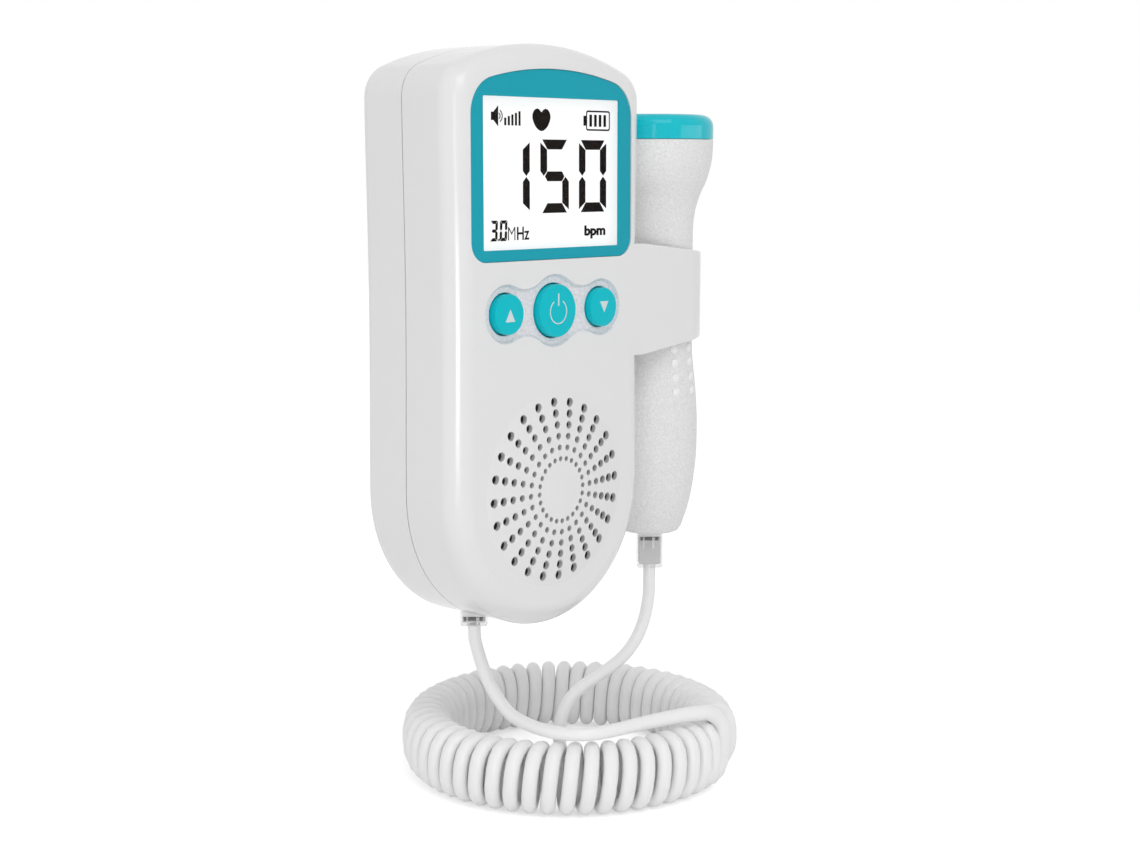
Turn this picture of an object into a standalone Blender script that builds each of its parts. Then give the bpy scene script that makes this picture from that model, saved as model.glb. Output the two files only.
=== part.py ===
"""Fetal heart doppler: a hand-held case, a probe clipped to its side, and a curly cord between them.

Every place is measured in metres from the bottom of the case's front face:
x runs towards the probe, y from the front face to the back, and z up.
The empty named doppler then puts the origin on the flat of the back.
"""
import math

import bmesh
import bpy
from mathutils import Matrix, Vector

# Clearances and overruns
fit_gap = 0.0003
overrun = 0.0010
weld_distance = 0.000001
flat_angle = 0.001

# Case
case_height = 0.1350
case_half_width = 0.0323
seam_depth = 0.0164
wall = 0.0021
front_round = 0.0054
back_round = 0.0030
corner_radius = 0.0080
arch_radius = 0.0745
waist_depth = 0.0005
mount_below_top = 0.0190

# Display
bezel_side_margin = 0.0055
bezel_below_top = 0.0050
bezel_above_buttons = 0.0119
bezel_arch_radius = 0.0900
bezel_top_corner = 0.0035
bezel_bottom_corner = 0.0045
bezel_thickness = 0.0011
bezel_proud = 0.0001
view_side_margin = 0.0041
view_below_bezel = 0.0069
view_above_bezel = 0.0026
lens_overlap = 0.0010
lens_thickness = 0.0008
panel_margin = 0.0018
panel_thickness = 0.0020
backlight_thickness = 0.0023

# Buttons
button_height = 0.0744
button_spacing = 0.0160
side_button_radius = 0.0049
power_button_radius = 0.00645
button_proud = 0.0010
button_edge = 0.0006
button_travel = 0.0008
flange_width = 0.0011
flange_thickness = 0.0008
stem_radius = 0.0015
stem_length = 0.0006
surround_depth = 0.0008
side_lobe_radius = 0.0069
power_lobe_radius = 0.0085
valley_radius = 0.0090

# Loudspeaker grille: a shallow dome with rings of holes
dome_margin = 0.0093
dome_rise = 0.0023
spokes = 24
first_spoke = math.radians(92)
hole_margin = 0.00225
hole_ring_shares = (1.0, 0.8716, 0.7433, 0.6151, 0.4872, 0.3590)
hole_web = 0.00058
hole_size_shares = (1.0, 0.93, 0.84, 0.74, 0.64, 0.55)
hole_sides = 6
speaker_overlap = 0.0005
speaker_rim = 0.0013
speaker_depth = 0.0062
basket_radius = 0.0130
basket_wall = 0.0008
cone_throat_radius = 0.0060
cone_thickness = 0.0005
magnet_radius = 0.0110
magnet_thickness = 0.0034

# Clip that holds the probe to the side of the case
clip_wall = 0.0018
clip_height = 0.0273
clip_tip_height = 0.0212
clip_centre = 0.07535
clip_corner = 0.0022
clip_wrap = math.radians(52)
saddle_height = 0.0180
saddle_front = 0.0040
probe_offset = 0.0173

# Probe
probe_foot_height = 0.0138
probe_head_height = 0.1144
probe_cap_height = 0.0061
probe_head_radius = 0.0156
probe_neck_radius = 0.0106
probe_belly_radius = 0.0121
probe_foot_radius = 0.0070
neck_top = 0.0875
neck_bottom = 0.0642
belly_height = 0.0427
cap_corner = 0.0030
cap_wall = 0.0013
probe_wall = 0.0016
spigot_height = 0.0024
spigot_wall = 0.0012
holder_thickness = 0.0010
crystal_radius = 0.0122
crystal_thickness = 0.0006
damping_height = 0.0060
damping_radius = 0.0120
probe_board_length = 0.0550
probe_board_low = 0.0300
board_thickness = 0.0016
flare_shares = ((0.20, 0.02), (0.34, 0.12), (0.48, 0.34), (0.60, 0.63), (0.73, 0.85), (0.85, 0.96))
swell_shares = ((0.28, 0.20), (0.49, 0.53), (0.71, 0.80))
foot_shares = ((0.28, 0.02), (0.47, 0.12), (0.66, 0.28), (0.83, 0.52), (0.96, 0.78))

# Circuit boards and what stands on them
main_board_margin = 0.0022
main_board_low = 0.0575
main_board_below_bosses = 0.0014
switch_size = 0.0060
switch_depth = 0.0018
plunger_radius = 0.0016
plunger_length = 0.0005
processor_size = 0.0100
chip_thickness = 0.0012
processor_below_board = 0.0110
amplifier_size = 0.0060
amplifier_above_board = 0.0075
amplifier_side = 0.0180
capacitor_radius = 0.0021
capacitor_length = 0.0020
capacitor_below_board = 0.0145
capacitor_side = 0.0200

# Batteries
cell_radius = 0.00725
cell_length = 0.0505
nub_radius = 0.0026
nub_length = 0.0010
spring_length = 0.0042
spring_wire = 0.0003
spring_turns = 3
spring_points = 8
spring_top_share = 0.55
contact_thickness = 0.0004
bay_above_speaker = 0.0080
bay_floor = 0.0015
board_to_bay = 0.0040
bay_side = 0.0016
door_margin = 0.0021
door_thickness = 0.0012
groove_width = 0.0120
groove_depth = 0.0005
groove_height = 0.0012
groove_pitch = 0.0026
grooves = 3

# Screws
boss_radius = 0.0025
pillar_radius = 0.0034
boss_inset = 0.0050
boss_angle = math.radians(-35)
top_boss_side = 0.0140
top_boss_below_top = 0.0066
pillar_floor = 0.0034
screw_radius = 0.00095
screw_head_radius = 0.0023
screw_head_height = 0.0020
screw_reach = 0.0090

# Plugs and sockets
plug_width = 0.0048
plug_depth = 0.0038
plug_length = 0.0125
plug_edge = 0.0003
latch_width = 0.0022
latch_thickness = 0.0006
latch_length = 0.0070
probe_plug_shown = 0.0084
unit_plug_shown = 0.0033
socket_wall = 0.0014
socket_side = -0.0050
socket_depth = 0.0226

# Cord
cord_diameter = 0.0034
lead_diameter = 0.0032
ring_centre = (0.0213, 0.0150, -0.0350)
ring_radius = 0.0360
curl_reach = 0.00465
curl_rise = 0.00685
curl_stagger = 0.0025
curls = 49
curl_points = 8
ring_start = math.radians(-71)
ring_sweep = math.radians(340)
lead_steps = 2

# The unit's lead, from its plug over the front of the ring to the first curl
unit_lead_route = (
    (-0.0050, 0.0226, -0.0032), (-0.0049, 0.0225, -0.0068), (-0.0042, 0.0214, -0.0118),
    (-0.0040, 0.0192, -0.0165), (-0.0046, 0.0148, -0.0207), (-0.0058, 0.0092, -0.0233),
    (-0.0068, 0.0024, -0.0241), (-0.0072, -0.0042, -0.02415), (-0.0056, -0.0099, -0.0241),
    (-0.0018, -0.0138, -0.02405), (0.0045, -0.0158, -0.0240), (0.0119, -0.0172, -0.0239),
    (0.0202, -0.0195, -0.0238), (0.0273, -0.0220, -0.0238), (0.03125, -0.0229, -0.02475),
    (0.0337, -0.0233, -0.0270),
)

# The probe's lead, from its plug down into the ring and along the surface to the last curl
probe_lead_route = (
    (0.0496, 0.0127, 0.0051), (0.0496, 0.0127, 0.0014), (0.0492, 0.0126, -0.0046),
    (0.0470, 0.0124, -0.0104), (0.0434, 0.0122, -0.0149), (0.0373, 0.0119, -0.0185),
    (0.0276, 0.0114, -0.0211), (0.0216, 0.0110, -0.0224), (0.0170, 0.0107, -0.0243),
    (0.0136, 0.0104, -0.0278), (0.0121, 0.0101, -0.0325), (0.0128, 0.0098, -0.0368),
    (0.0160, 0.0095, -0.0403), (0.0210, 0.0091, -0.04185), (0.0270, 0.0073, -0.04185),
    (0.0322, 0.0030, -0.04185), (0.0363, -0.0026, -0.04185),
)

# Sizes that follow from the ones above
round_steps = 24
small_steps = 12
mount_height = case_height - mount_below_top
bezel_half_width = case_half_width - bezel_side_margin
view_half_width = bezel_half_width - view_side_margin
main_board_half_width = case_half_width - wall - main_board_margin
dome_radius = case_half_width - dome_margin
hole_ring_radius = dome_radius - hole_margin
ring_step = hole_ring_radius * (hole_ring_shares[0] - hole_ring_shares[1])
hole_radius = (ring_step - hole_web) / (hole_size_shares[0] + hole_size_shares[1])
speaker_radius = dome_radius + speaker_overlap
boss_ring_radius = case_half_width - boss_inset
bezel_top = case_height - bezel_below_top
bezel_bottom = button_height + bezel_above_buttons
view_top = bezel_top - view_below_bezel
view_bottom = bezel_bottom + view_above_bezel
grille_height = case_half_width
top_boss_height = case_height - top_boss_below_top
main_board_high = top_boss_height - boss_radius - main_board_below_bosses
processor_height = main_board_high - processor_below_board
capacitor_height = main_board_high - capacitor_below_board
amplifier_height = main_board_low + amplifier_above_board
bay_low = grille_height + bay_above_speaker
probe_axis_x = case_half_width + probe_offset
probe_axis_y = probe_neck_radius + fit_gap + clip_wall
lens_front = bezel_thickness - bezel_proud + fit_gap
panel_front = max(lens_front + lens_thickness, wall) + fit_gap
backlight_front = panel_front + panel_thickness + fit_gap
board_front = backlight_front + backlight_thickness + fit_gap
board_back = board_front + board_thickness
flange_front = wall + fit_gap
flange_back = flange_front + flange_thickness
bay_half_width = 2 * cell_radius + 1.5 * fit_gap
bay_length = cell_length + spring_length + 2 * contact_thickness + 5 * fit_gap
bay_high = bay_low + bay_length
bay_inner_front = board_back + board_to_bay + bay_floor
cell_centre_y = bay_inner_front + fit_gap + cell_radius
door_front = cell_centre_y + cell_radius + fit_gap
case_depth = door_front + door_thickness
probe_top = probe_head_height + probe_cap_height
cap_ceiling = probe_top - cap_wall
crystal_high = cap_ceiling - fit_gap
holder_high = crystal_high - crystal_thickness - fit_gap
spigot_top = holder_high - holder_thickness - fit_gap
spigot_radius = probe_head_radius - cap_wall - fit_gap
probe_board_half_width = probe_neck_radius - probe_wall - 2 * fit_gap
plug_hole_width = plug_width + 2 * fit_gap
plug_hole_depth = plug_depth + 2 * fit_gap


def new_collection(name):
    """A collection linked to the scene."""
    group = bpy.data.collections.new(name)
    bpy.context.scene.collection.children.link(group)
    return group


def finish(name, colour, roughness, metallic=0.0):
    """A plain Principled material."""
    material = bpy.data.materials.new(name)
    material.use_nodes = True
    shader = material.node_tree.nodes["Principled BSDF"]
    shader.inputs["Base Color"].default_value = (*colour, 1.0)
    shader.inputs["Roughness"].default_value = roughness
    shader.inputs["Metallic"].default_value = metallic
    return material


def place(name, data, material=None, location=(0, 0, 0), rotation=(0, 0, 0)):
    """An object of the part, or a cutter where it has no material."""
    thing = bpy.data.objects.new(name, data)
    home = part_group if material else cutter_group
    home.objects.link(thing)
    thing.parent = frame
    thing.location = location
    thing.rotation_euler = rotation
    if material:
        data.materials.append(material)
    else:
        thing.hide_render = True
        thing.display_type = "WIRE"
    return thing


def mesh_from(bm, name, smooth=False):
    """The edited mesh as mesh data, shaded smooth on round pieces."""
    bmesh.ops.recalc_face_normals(bm, faces=bm.faces)
    mesh = bpy.data.meshes.new(name)
    bm.to_mesh(mesh)
    bm.free()
    if smooth:
        mesh.shade_smooth()
        mesh.set_sharp_from_angle(angle=math.radians(35))
    return mesh


def box(name, low, high, material=None):
    """A block between two corners."""
    bm = bmesh.new()
    bmesh.ops.create_cube(bm, size=1)
    size = [b - a for a, b in zip(low, high)]
    middle = [(a + b) / 2 for a, b in zip(low, high)]
    bmesh.ops.scale(bm, vec=size, verts=bm.verts)
    return place(name, mesh_from(bm, name), material, middle)


def rod(name, centre, radius, front, back, material=None, sides=round_steps):
    """A round bar that runs from front to back at a place on the front view."""
    bm = bmesh.new()
    bmesh.ops.create_cone(bm, cap_ends=True, segments=sides, radius1=radius, radius2=radius,
                          depth=back - front)
    location = (centre[0], (front + back) / 2, centre[1])
    return place(name, mesh_from(bm, name, True), material, location, (math.pi / 2, 0, 0))


def turned(name, profile, material=None, location=(0, 0, 0), rotation=(0, 0, 0), steps=round_steps,
           closed=False):
    """A profile of radius and height, listed down its outer side, turned about the piece's axis."""
    bm = bmesh.new()
    corners = [bm.verts.new((radius, 0, height)) for radius, height in profile]
    for first, second in zip(corners, corners[1:]):
        bm.edges.new((first, second))
    if closed:
        bm.edges.new((corners[-1], corners[0]))
    mesh = bpy.data.meshes.new(name)
    bm.to_mesh(mesh)
    bm.free()
    piece = place(name, mesh, material, location, rotation)
    screw = piece.modifiers.new("turn", "SCREW")
    screw.axis = "Z"
    screw.steps = steps
    screw.render_steps = steps
    screw.use_merge_vertices = True
    screw.merge_threshold = weld_distance
    screw.use_smooth_shade = True
    return piece


def to_the_back(spin=0.0):
    """The rotation that points a turned piece's height to the back, turned by spin on the front view."""
    return (-math.pi / 2, -spin, 0)


def outline_curve(name, outlines, thickness):
    """A filled flat curve of one outline, or of an outline and its holes."""
    curve = bpy.data.curves.new(name, "CURVE")
    curve.dimensions = "2D"
    curve.fill_mode = "BOTH"
    curve.extrude = thickness / 2
    for outline in outlines:
        spline = curve.splines.new("POLY")
        spline.points.add(len(outline) - 1)
        for point, corner in zip(spline.points, outline):
            point.co = (corner[0], corner[1], 0, 1)
        spline.use_cyclic_u = True
    return curve


def as_solid(shape, material, whole):
    """The curve as one welded mesh in the curve's place."""
    bpy.context.view_layer.update()
    seen = shape.evaluated_get(bpy.context.evaluated_depsgraph_get())
    mesh = bpy.data.meshes.new_from_object(seen)
    bm = bmesh.new()
    bm.from_mesh(mesh)
    bmesh.ops.remove_doubles(bm, verts=bm.verts, dist=weld_distance)
    if whole:
        bmesh.ops.dissolve_limit(bm, angle_limit=flat_angle, verts=bm.verts, edges=bm.edges)
    bmesh.ops.recalc_face_normals(bm, faces=bm.faces)
    bm.to_mesh(mesh)
    bm.free()
    name = shape.name
    position = shape.matrix_world.copy()
    bpy.data.objects.remove(shape)
    mesh.materials.clear()
    solid = place(name, mesh, material)
    solid.matrix_world = position
    return solid


def front_prism(name, outlines, front, back, material=None):
    """Outlines of the front view, solid between two depths."""
    curve = outline_curve(name, outlines, back - front)
    shape = place(name, curve, None, (0, (front + back) / 2, 0), (math.pi / 2, 0, 0))
    return as_solid(shape, material, len(outlines) == 1)


def top_prism(name, outline, low, high, material=None):
    """An outline of the top view, solid between two heights."""
    curve = outline_curve(name, [outline], high - low)
    shape = place(name, curve, None, (0, 0, (low + high) / 2))
    return as_solid(shape, material, True)


def round_rim(solid, radius, segments, front=True):
    """Rounds the front or the back rim of a front prism."""
    bm = bmesh.new()
    bm.from_mesh(solid.data)
    level = max(v.co.z for v in bm.verts) if front else min(v.co.z for v in bm.verts)
    rim = [e for e in bm.edges if all(abs(v.co.z - level) < weld_distance for v in e.verts)]
    bmesh.ops.bevel(bm, geom=rim, offset=radius, offset_type="OFFSET", segments=segments,
                    profile=0.5, affect="EDGES", clamp_overlap=False)
    bm.to_mesh(solid.data)
    bm.free()


def combine(piece, tool, operation="DIFFERENCE"):
    """Cuts a tool out of a piece, or joins it on."""
    change = piece.modifiers.new(tool.name, "BOOLEAN")
    change.operation = operation
    change.solver = "EXACT"
    change.object = tool


def arc(centre, radius, start, end, steps):
    """Points along an arc of the front or top view, both ends included."""
    turns = [start + (end - start) * k / steps for k in range(steps + 1)]
    return [(centre[0] + radius * math.cos(t), centre[1] + radius * math.sin(t)) for t in turns]


def rectangle(half_width, low, high, middle=0.0):
    """Four corners, counter-clockwise."""
    return [(middle - half_width, low), (middle + half_width, low),
            (middle + half_width, high), (middle - half_width, high)]


def case_outline(inset=0.0):
    """Front view of the case: round foot, slightly waisted sides, arched top."""
    half = case_half_width
    points = arc((0, half), half - inset, math.pi, 2 * math.pi, 20)
    arch_centre = case_height - arch_radius
    corner_side = half - corner_radius
    rise = math.sqrt((arch_radius - corner_radius) ** 2 - corner_side ** 2)
    corner_centre = arch_centre + rise
    lean = math.atan2(rise, corner_side)
    side_steps = 5
    right = []
    for k in range(1, side_steps):
        along = k / side_steps
        drawn_in = 4 * waist_depth * along * (1 - along) + inset
        right.append((half - drawn_in, half + (corner_centre - half) * along))
    left = [(-x, z) for x, z in reversed(right)]
    corner = arc((corner_side, corner_centre), corner_radius - inset, 0, lean, 5)
    top = arc((0, arch_centre), arch_radius - inset, lean, math.pi - lean, 10)[1:-1]
    other = [(-x, z) for x, z in reversed(corner)]
    return points + right + corner + top + other + left


def bezel_outline(grow=0.0):
    """Front view of the display's frame, grown by a clearance."""
    half = bezel_half_width
    arch_centre = bezel_top - bezel_arch_radius
    side = half - bezel_top_corner
    rise = math.sqrt((bezel_arch_radius - bezel_top_corner) ** 2 - side ** 2)
    lean = math.atan2(rise, side)
    low_side = half - bezel_bottom_corner
    low_centre = bezel_bottom + bezel_bottom_corner
    right = arc((low_side, low_centre), bezel_bottom_corner + grow, -math.pi / 2, 0, 5)
    right += arc((side, arch_centre + rise), bezel_top_corner + grow, 0, lean, 4)
    top = arc((0, arch_centre), bezel_arch_radius + grow, lean, math.pi - lean, 8)[1:-1]
    left = [(-x, z) for x, z in reversed(right)]
    return right + top + left


def view_outline(grow=0.0):
    """The display's window, grown by an overlap or a clearance."""
    return rectangle(view_half_width + grow, view_bottom - grow, view_top + grow)


def surround_outline():
    """The wavy recess round the buttons: three round lobes joined by hollow valleys."""
    to_side = side_lobe_radius + valley_radius
    to_power = power_lobe_radius + valley_radius
    valley_x = (to_power ** 2 - to_side ** 2 + button_spacing ** 2) / (2 * button_spacing)
    valley_z = math.sqrt(to_power ** 2 - valley_x ** 2)
    side_turn = math.atan2(valley_z, valley_x - button_spacing)
    power_turn = math.atan2(valley_z, valley_x)
    upper = arc((button_spacing, 0), side_lobe_radius, 0, side_turn, 5)
    upper += arc((valley_x, valley_z), valley_radius, side_turn - math.pi, power_turn - math.pi, 4)[1:]
    upper += arc((0, 0), power_lobe_radius, power_turn, math.pi / 2, 4)[1:]
    left = [(-x, z) for x, z in reversed(upper[:-1])]
    half = upper + left
    lower = [(x, -z) for x, z in reversed(half[1:-1])]
    return [(x, z + button_height) for x, z in half + lower]


def dome_depth(radius):
    """How far the grille's dome lies from the front face, negative where it stands proud."""
    return -dome_rise * (1 - (radius / dome_radius) ** 2)


def dome_profile(offset, back):
    """The dome's curve, offset into the case and closed at a depth, listed from the back."""
    rings = [share * hole_ring_radius for share in hole_ring_shares]
    stations = [dome_radius] + [(a + b) / 2 for a, b in zip(rings, rings[1:])]
    stations += [rings[-1] - (rings[-2] - rings[-1]) / 2, 0]
    profile = [(0, back), (dome_radius, back)]
    profile += [(radius, offset + dome_depth(radius)) for radius in stations]
    return profile


def grille_cutters():
    """All the holes of the grille as one cutter."""
    bm = bmesh.new()
    front = -dome_rise - overrun
    back = wall + overrun
    upright = Matrix.Rotation(math.pi / 2, 4, "X")
    for ring_share, size_share in zip(hole_ring_shares, hole_size_shares):
        reach = hole_ring_radius * ring_share
        for spoke in range(spokes):
            turn = first_spoke + 2 * math.pi * spoke / spokes
            centre = Vector((reach * math.cos(turn), (front + back) / 2,
                             grille_height + reach * math.sin(turn)))
            bmesh.ops.create_cone(bm, cap_ends=True, segments=hole_sides,
                                  radius1=hole_radius * size_share, radius2=hole_radius * size_share,
                                  depth=back - front, matrix=Matrix.Translation(centre) @ upright)
    return place("grille_holes", mesh_from(bm, "grille_holes"))


def clip_strip():
    """The clip's tongue: flat off the front face, then round the probe's neck."""
    axis = (probe_axis_x, probe_axis_y)
    start = case_half_width - front_round - overrun
    outer = probe_axis_y
    outline = [(start, 0)] + arc(axis, outer, -math.pi / 2, clip_wrap - math.pi / 2, 7)
    outline += arc(axis, outer - clip_wall, clip_wrap - math.pi / 2, -math.pi / 2, 7)
    outline += [(start, clip_wall)]
    half = clip_height / 2
    strip = top_prism("clip_strip", outline, clip_centre - half, clip_centre + half)
    combine(strip, clip_taper(start, outer), "INTERSECT")
    return strip


def clip_taper(start, outer):
    """Front view of the tongue, which narrows to its rounded free end."""
    root = clip_height / 2
    tip = clip_tip_height / 2
    end = probe_axis_x + outer * math.sin(clip_wrap)
    corner = arc((end - clip_corner, tip - clip_corner), clip_corner, 0, math.pi / 2, 4)
    upper = [(end + x - end, z) for x, z in corner] + [(case_half_width, root), (start - overrun, root)]
    outline = upper + [(x, -z) for x, z in reversed(upper)]
    outline = [(x, z + clip_centre) for x, z in outline]
    return front_prism("clip_taper", [outline], -overrun, case_depth)


def saddle():
    """The rib on the side wall that the probe's neck rests against, open to the back."""
    half = saddle_height / 2
    low = (case_half_width - waist_depth - overrun, saddle_front, clip_centre - half)
    high = (probe_axis_x, seam_depth, clip_centre + half)
    rib = box("saddle", low, high)
    reach = probe_neck_radius + fit_gap
    way_out = arc((probe_axis_x, probe_axis_y), reach, math.pi, 2 * math.pi, 12)
    way_out += [(probe_axis_x + reach, case_depth), (probe_axis_x - reach, case_depth)]
    combine(rib, top_prism("probe_way", way_out, low[2] - overrun, high[2] + overrun))
    return rib


def screw_places():
    """The four case screws on the front view."""
    side = boss_ring_radius * math.cos(boss_angle)
    low = case_half_width + boss_ring_radius * math.sin(boss_angle)
    return [(-side, low), (side, low), (-top_boss_side, top_boss_height), (top_boss_side, top_boss_height)]


def front_shell():
    """The front half of the case with its openings, grille, clip and screw bosses."""
    shell = front_prism("front_shell", [case_outline()], 0, seam_depth, white_case)
    round_rim(shell, front_round, 4)
    cavity = front_prism("front_cavity", [case_outline(wall)], wall, seam_depth + overrun)
    round_rim(cavity, front_round - wall, 2)
    combine(shell, cavity)
    for number, centre in enumerate(screw_places()):
        combine(shell, rod(f"front_boss_{number}", centre, boss_radius, wall / 2, seam_depth,
                           sides=small_steps), "UNION")
        combine(shell, rod(f"front_bore_{number}", centre, screw_radius + fit_gap,
                           screw_reach - overrun, seam_depth + overrun, sides=small_steps))
    spin = first_spoke + math.pi / spokes
    centre = (0, 0, grille_height)
    combine(shell, turned("dome", dome_profile(0, wall / 2), None, centre, to_the_back(spin),
                          spokes), "UNION")
    combine(shell, turned("dome_hollow", dome_profile(wall, wall + overrun), None, centre,
                          to_the_back(spin), spokes))
    combine(shell, clip_strip(), "UNION")
    combine(shell, saddle(), "UNION")
    pocket = bezel_thickness - bezel_proud + fit_gap
    combine(shell, front_prism("bezel_pocket", [bezel_outline(fit_gap)], -overrun, pocket))
    combine(shell, front_prism("view_hole", [view_outline(lens_overlap + fit_gap)], 0, wall + overrun))
    combine(shell, front_prism("surround_recess", [surround_outline()], -overrun, surround_depth))
    for name, side, radius in buttons():
        combine(shell, rod(f"{name}_hole", (side, button_height), radius + fit_gap, -overrun,
                           wall + overrun))
    combine(shell, grille_cutters())
    return shell


def rear_shell():
    """The back half of the case with the battery bay, screw pillars and the cord's opening."""
    front = seam_depth + fit_gap
    shell = front_prism("rear_shell", [case_outline()], front, case_depth, white_case)
    round_rim(shell, back_round, 3, front=False)
    cavity = front_prism("rear_cavity", [case_outline(wall)], front - overrun, case_depth - wall)
    round_rim(cavity, back_round - wall, 1, front=False)
    combine(shell, cavity)
    outer = bay_half_width + bay_side
    combine(shell, box("bay_block", (-outer, bay_inner_front - bay_floor, bay_low - bay_side),
                       (outer, case_depth - wall / 2, bay_high + bay_side)), "UNION")
    combine(shell, box("bay_room", (-bay_half_width, bay_inner_front, bay_low),
                       (bay_half_width, case_depth + overrun, bay_high)))
    reach = door_margin + fit_gap
    combine(shell, box("door_recess", (-bay_half_width - reach, door_front - fit_gap, bay_low - reach),
                       (bay_half_width + reach, case_depth + overrun, bay_high + reach)))
    floor = front + pillar_floor
    for number, centre in enumerate(screw_places()):
        combine(shell, rod(f"pillar_{number}", centre, pillar_radius, front, case_depth - wall / 2,
                           sides=small_steps), "UNION")
        combine(shell, rod(f"counterbore_{number}", centre, screw_head_radius + fit_gap, floor,
                           case_depth + overrun, sides=small_steps))
        combine(shell, rod(f"rear_bore_{number}", centre, screw_radius + fit_gap, front - overrun,
                           floor + overrun, sides=small_steps))
    combine(shell, box("cord_opening",
                       (socket_side - plug_hole_width / 2, socket_depth - plug_hole_depth / 2, -overrun),
                       (socket_side + plug_hole_width / 2, socket_depth + plug_hole_depth / 2,
                        socket_bottom())))
    return shell


def battery_door():
    """The flush door over the battery bay, with finger grooves."""
    half = bay_half_width + door_margin
    low = bay_low - door_margin
    door = box("battery_door", (-half, door_front, low),
               (half, case_depth, bay_high + door_margin), white_case)
    for number in range(grooves):
        height = bay_high - groove_pitch * (number + 1)
        combine(door, box(f"groove_{number}", (-groove_width / 2, case_depth - groove_depth, height),
                          (groove_width / 2, case_depth + overrun, height + groove_height)))
    return door


def display():
    """Frame, lens, glass panel and backlight of the display."""
    front_prism("display_bezel", [bezel_outline(), view_outline()], -bezel_proud,
                bezel_thickness - bezel_proud, teal_frame)
    front_prism("display_lens", [view_outline(lens_overlap)], lens_front, lens_front + lens_thickness,
                clear_lens)
    front_prism("display_panel", [view_outline(panel_margin)], panel_front,
                panel_front + panel_thickness, display_glass)
    front_prism("display_backlight", [view_outline(panel_margin)], backlight_front,
                backlight_front + backlight_thickness, light_guide)


def buttons():
    """Name, side and radius of each button."""
    return (("up_button", -button_spacing, side_button_radius), ("power_button", 0, power_button_radius),
            ("down_button", button_spacing, side_button_radius))


def push_button(name, side, radius):
    """A cap that stands in the shell's hole, kept in by a flange behind the wall."""
    profile = [(0, flange_back + stem_length), (stem_radius, flange_back + stem_length),
               (stem_radius, flange_back), (radius + flange_width, flange_back),
               (radius + flange_width, flange_front), (radius, flange_front),
               (radius, button_edge - button_proud), (radius - button_edge, -button_proud),
               (0, -button_proud)]
    turned(name, profile, turquoise, (side, 0, button_height), to_the_back())


def push_switch(name, side):
    """The small switch on the board behind a button."""
    back = board_front - fit_gap
    front = back - switch_depth
    half = switch_size / 2
    body = box(name, (side - half, front, button_height - half), (side + half, back, button_height + half),
               black_plastic)
    combine(body, rod(f"{name}_plunger", (side, button_height), plunger_radius, front - plunger_length,
                      front + switch_depth / 2, sides=small_steps), "UNION")


def loudspeaker():
    """Frame, cone and magnet behind the grille."""
    front = wall + fit_gap
    back = front + speaker_depth
    centre = (0, 0, grille_height)
    inner = speaker_radius - speaker_rim
    frame_profile = [(0, back), (basket_radius, back), (inner, front + speaker_rim),
                     (speaker_radius, front + speaker_rim), (speaker_radius, front), (inner, front),
                     (basket_radius - basket_wall, back - basket_wall), (0, back - basket_wall)]
    turned("speaker_frame", frame_profile, steel, centre, to_the_back())
    edge = inner - 2 * speaker_rim
    throat_depth = back - basket_wall - fit_gap - speaker_rim
    edge_depth = front + fit_gap
    cone_profile = [(0, throat_depth + cone_thickness), (cone_throat_radius, throat_depth + cone_thickness),
                    (edge, edge_depth + cone_thickness), (edge, edge_depth),
                    (cone_throat_radius, throat_depth), (0, throat_depth)]
    turned("speaker_cone", cone_profile, paper_cone, centre, to_the_back())
    rod("speaker_magnet", (0, grille_height), magnet_radius, back + fit_gap,
        back + fit_gap + magnet_thickness, steel)


def circuit():
    """The main board and the pieces that stand on its back."""
    front_prism("main_board", [rectangle(main_board_half_width, main_board_low, main_board_high)],
                board_front, board_back, green_board)
    chip_front = board_back + fit_gap
    chip_back = chip_front + chip_thickness
    for name, size, side, height in (("processor", processor_size, 0, processor_height),
                                     ("audio_amplifier", amplifier_size, amplifier_side,
                                      amplifier_height)):
        box(name, (side - size / 2, chip_front, height - size / 2),
            (side + size / 2, chip_back, height + size / 2), black_plastic)
    rod("capacitor", (-capacitor_side, capacitor_height), capacitor_radius, chip_front,
        chip_front + capacitor_length, steel, small_steps)


def battery_cell(name, side, nub_up):
    """A round cell with its nub towards one end of the bay."""
    body = cell_length - nub_length
    profile = [(0, body + nub_length), (nub_radius, body + nub_length), (nub_radius, body),
               (cell_radius, body), (cell_radius, 0), (0, 0)]
    near = contact_thickness + 2 * fit_gap
    if nub_up:
        place_z = bay_high - near - cell_length
        rotation = (0, 0, 0)
    else:
        place_z = bay_low + near + cell_length
        rotation = (math.pi, 0, 0)
    turned(name, profile, cell_wrap, (side, cell_centre_y, place_z), rotation)


def contact_spring(name, side, at_bottom):
    """A conical wire spring between a contact plate and a cell's flat end."""
    near = contact_thickness + 2 * fit_gap
    low = bay_low + near if at_bottom else bay_high - near - spring_length
    rise = spring_length - 2 * spring_wire
    points = []
    for k in range(spring_turns * spring_points + 1):
        along = k / (spring_turns * spring_points)
        narrow = along if at_bottom else 1 - along
        radius = (cell_radius - spring_wire) * (1 - (1 - spring_top_share) * narrow)
        turn = 2 * math.pi * spring_turns * along
        points.append((side + radius * math.cos(turn), cell_centre_y + radius * math.sin(turn),
                       low + spring_wire + rise * along))
    tube(name, points, 2 * spring_wire, steel, 0)


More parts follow.
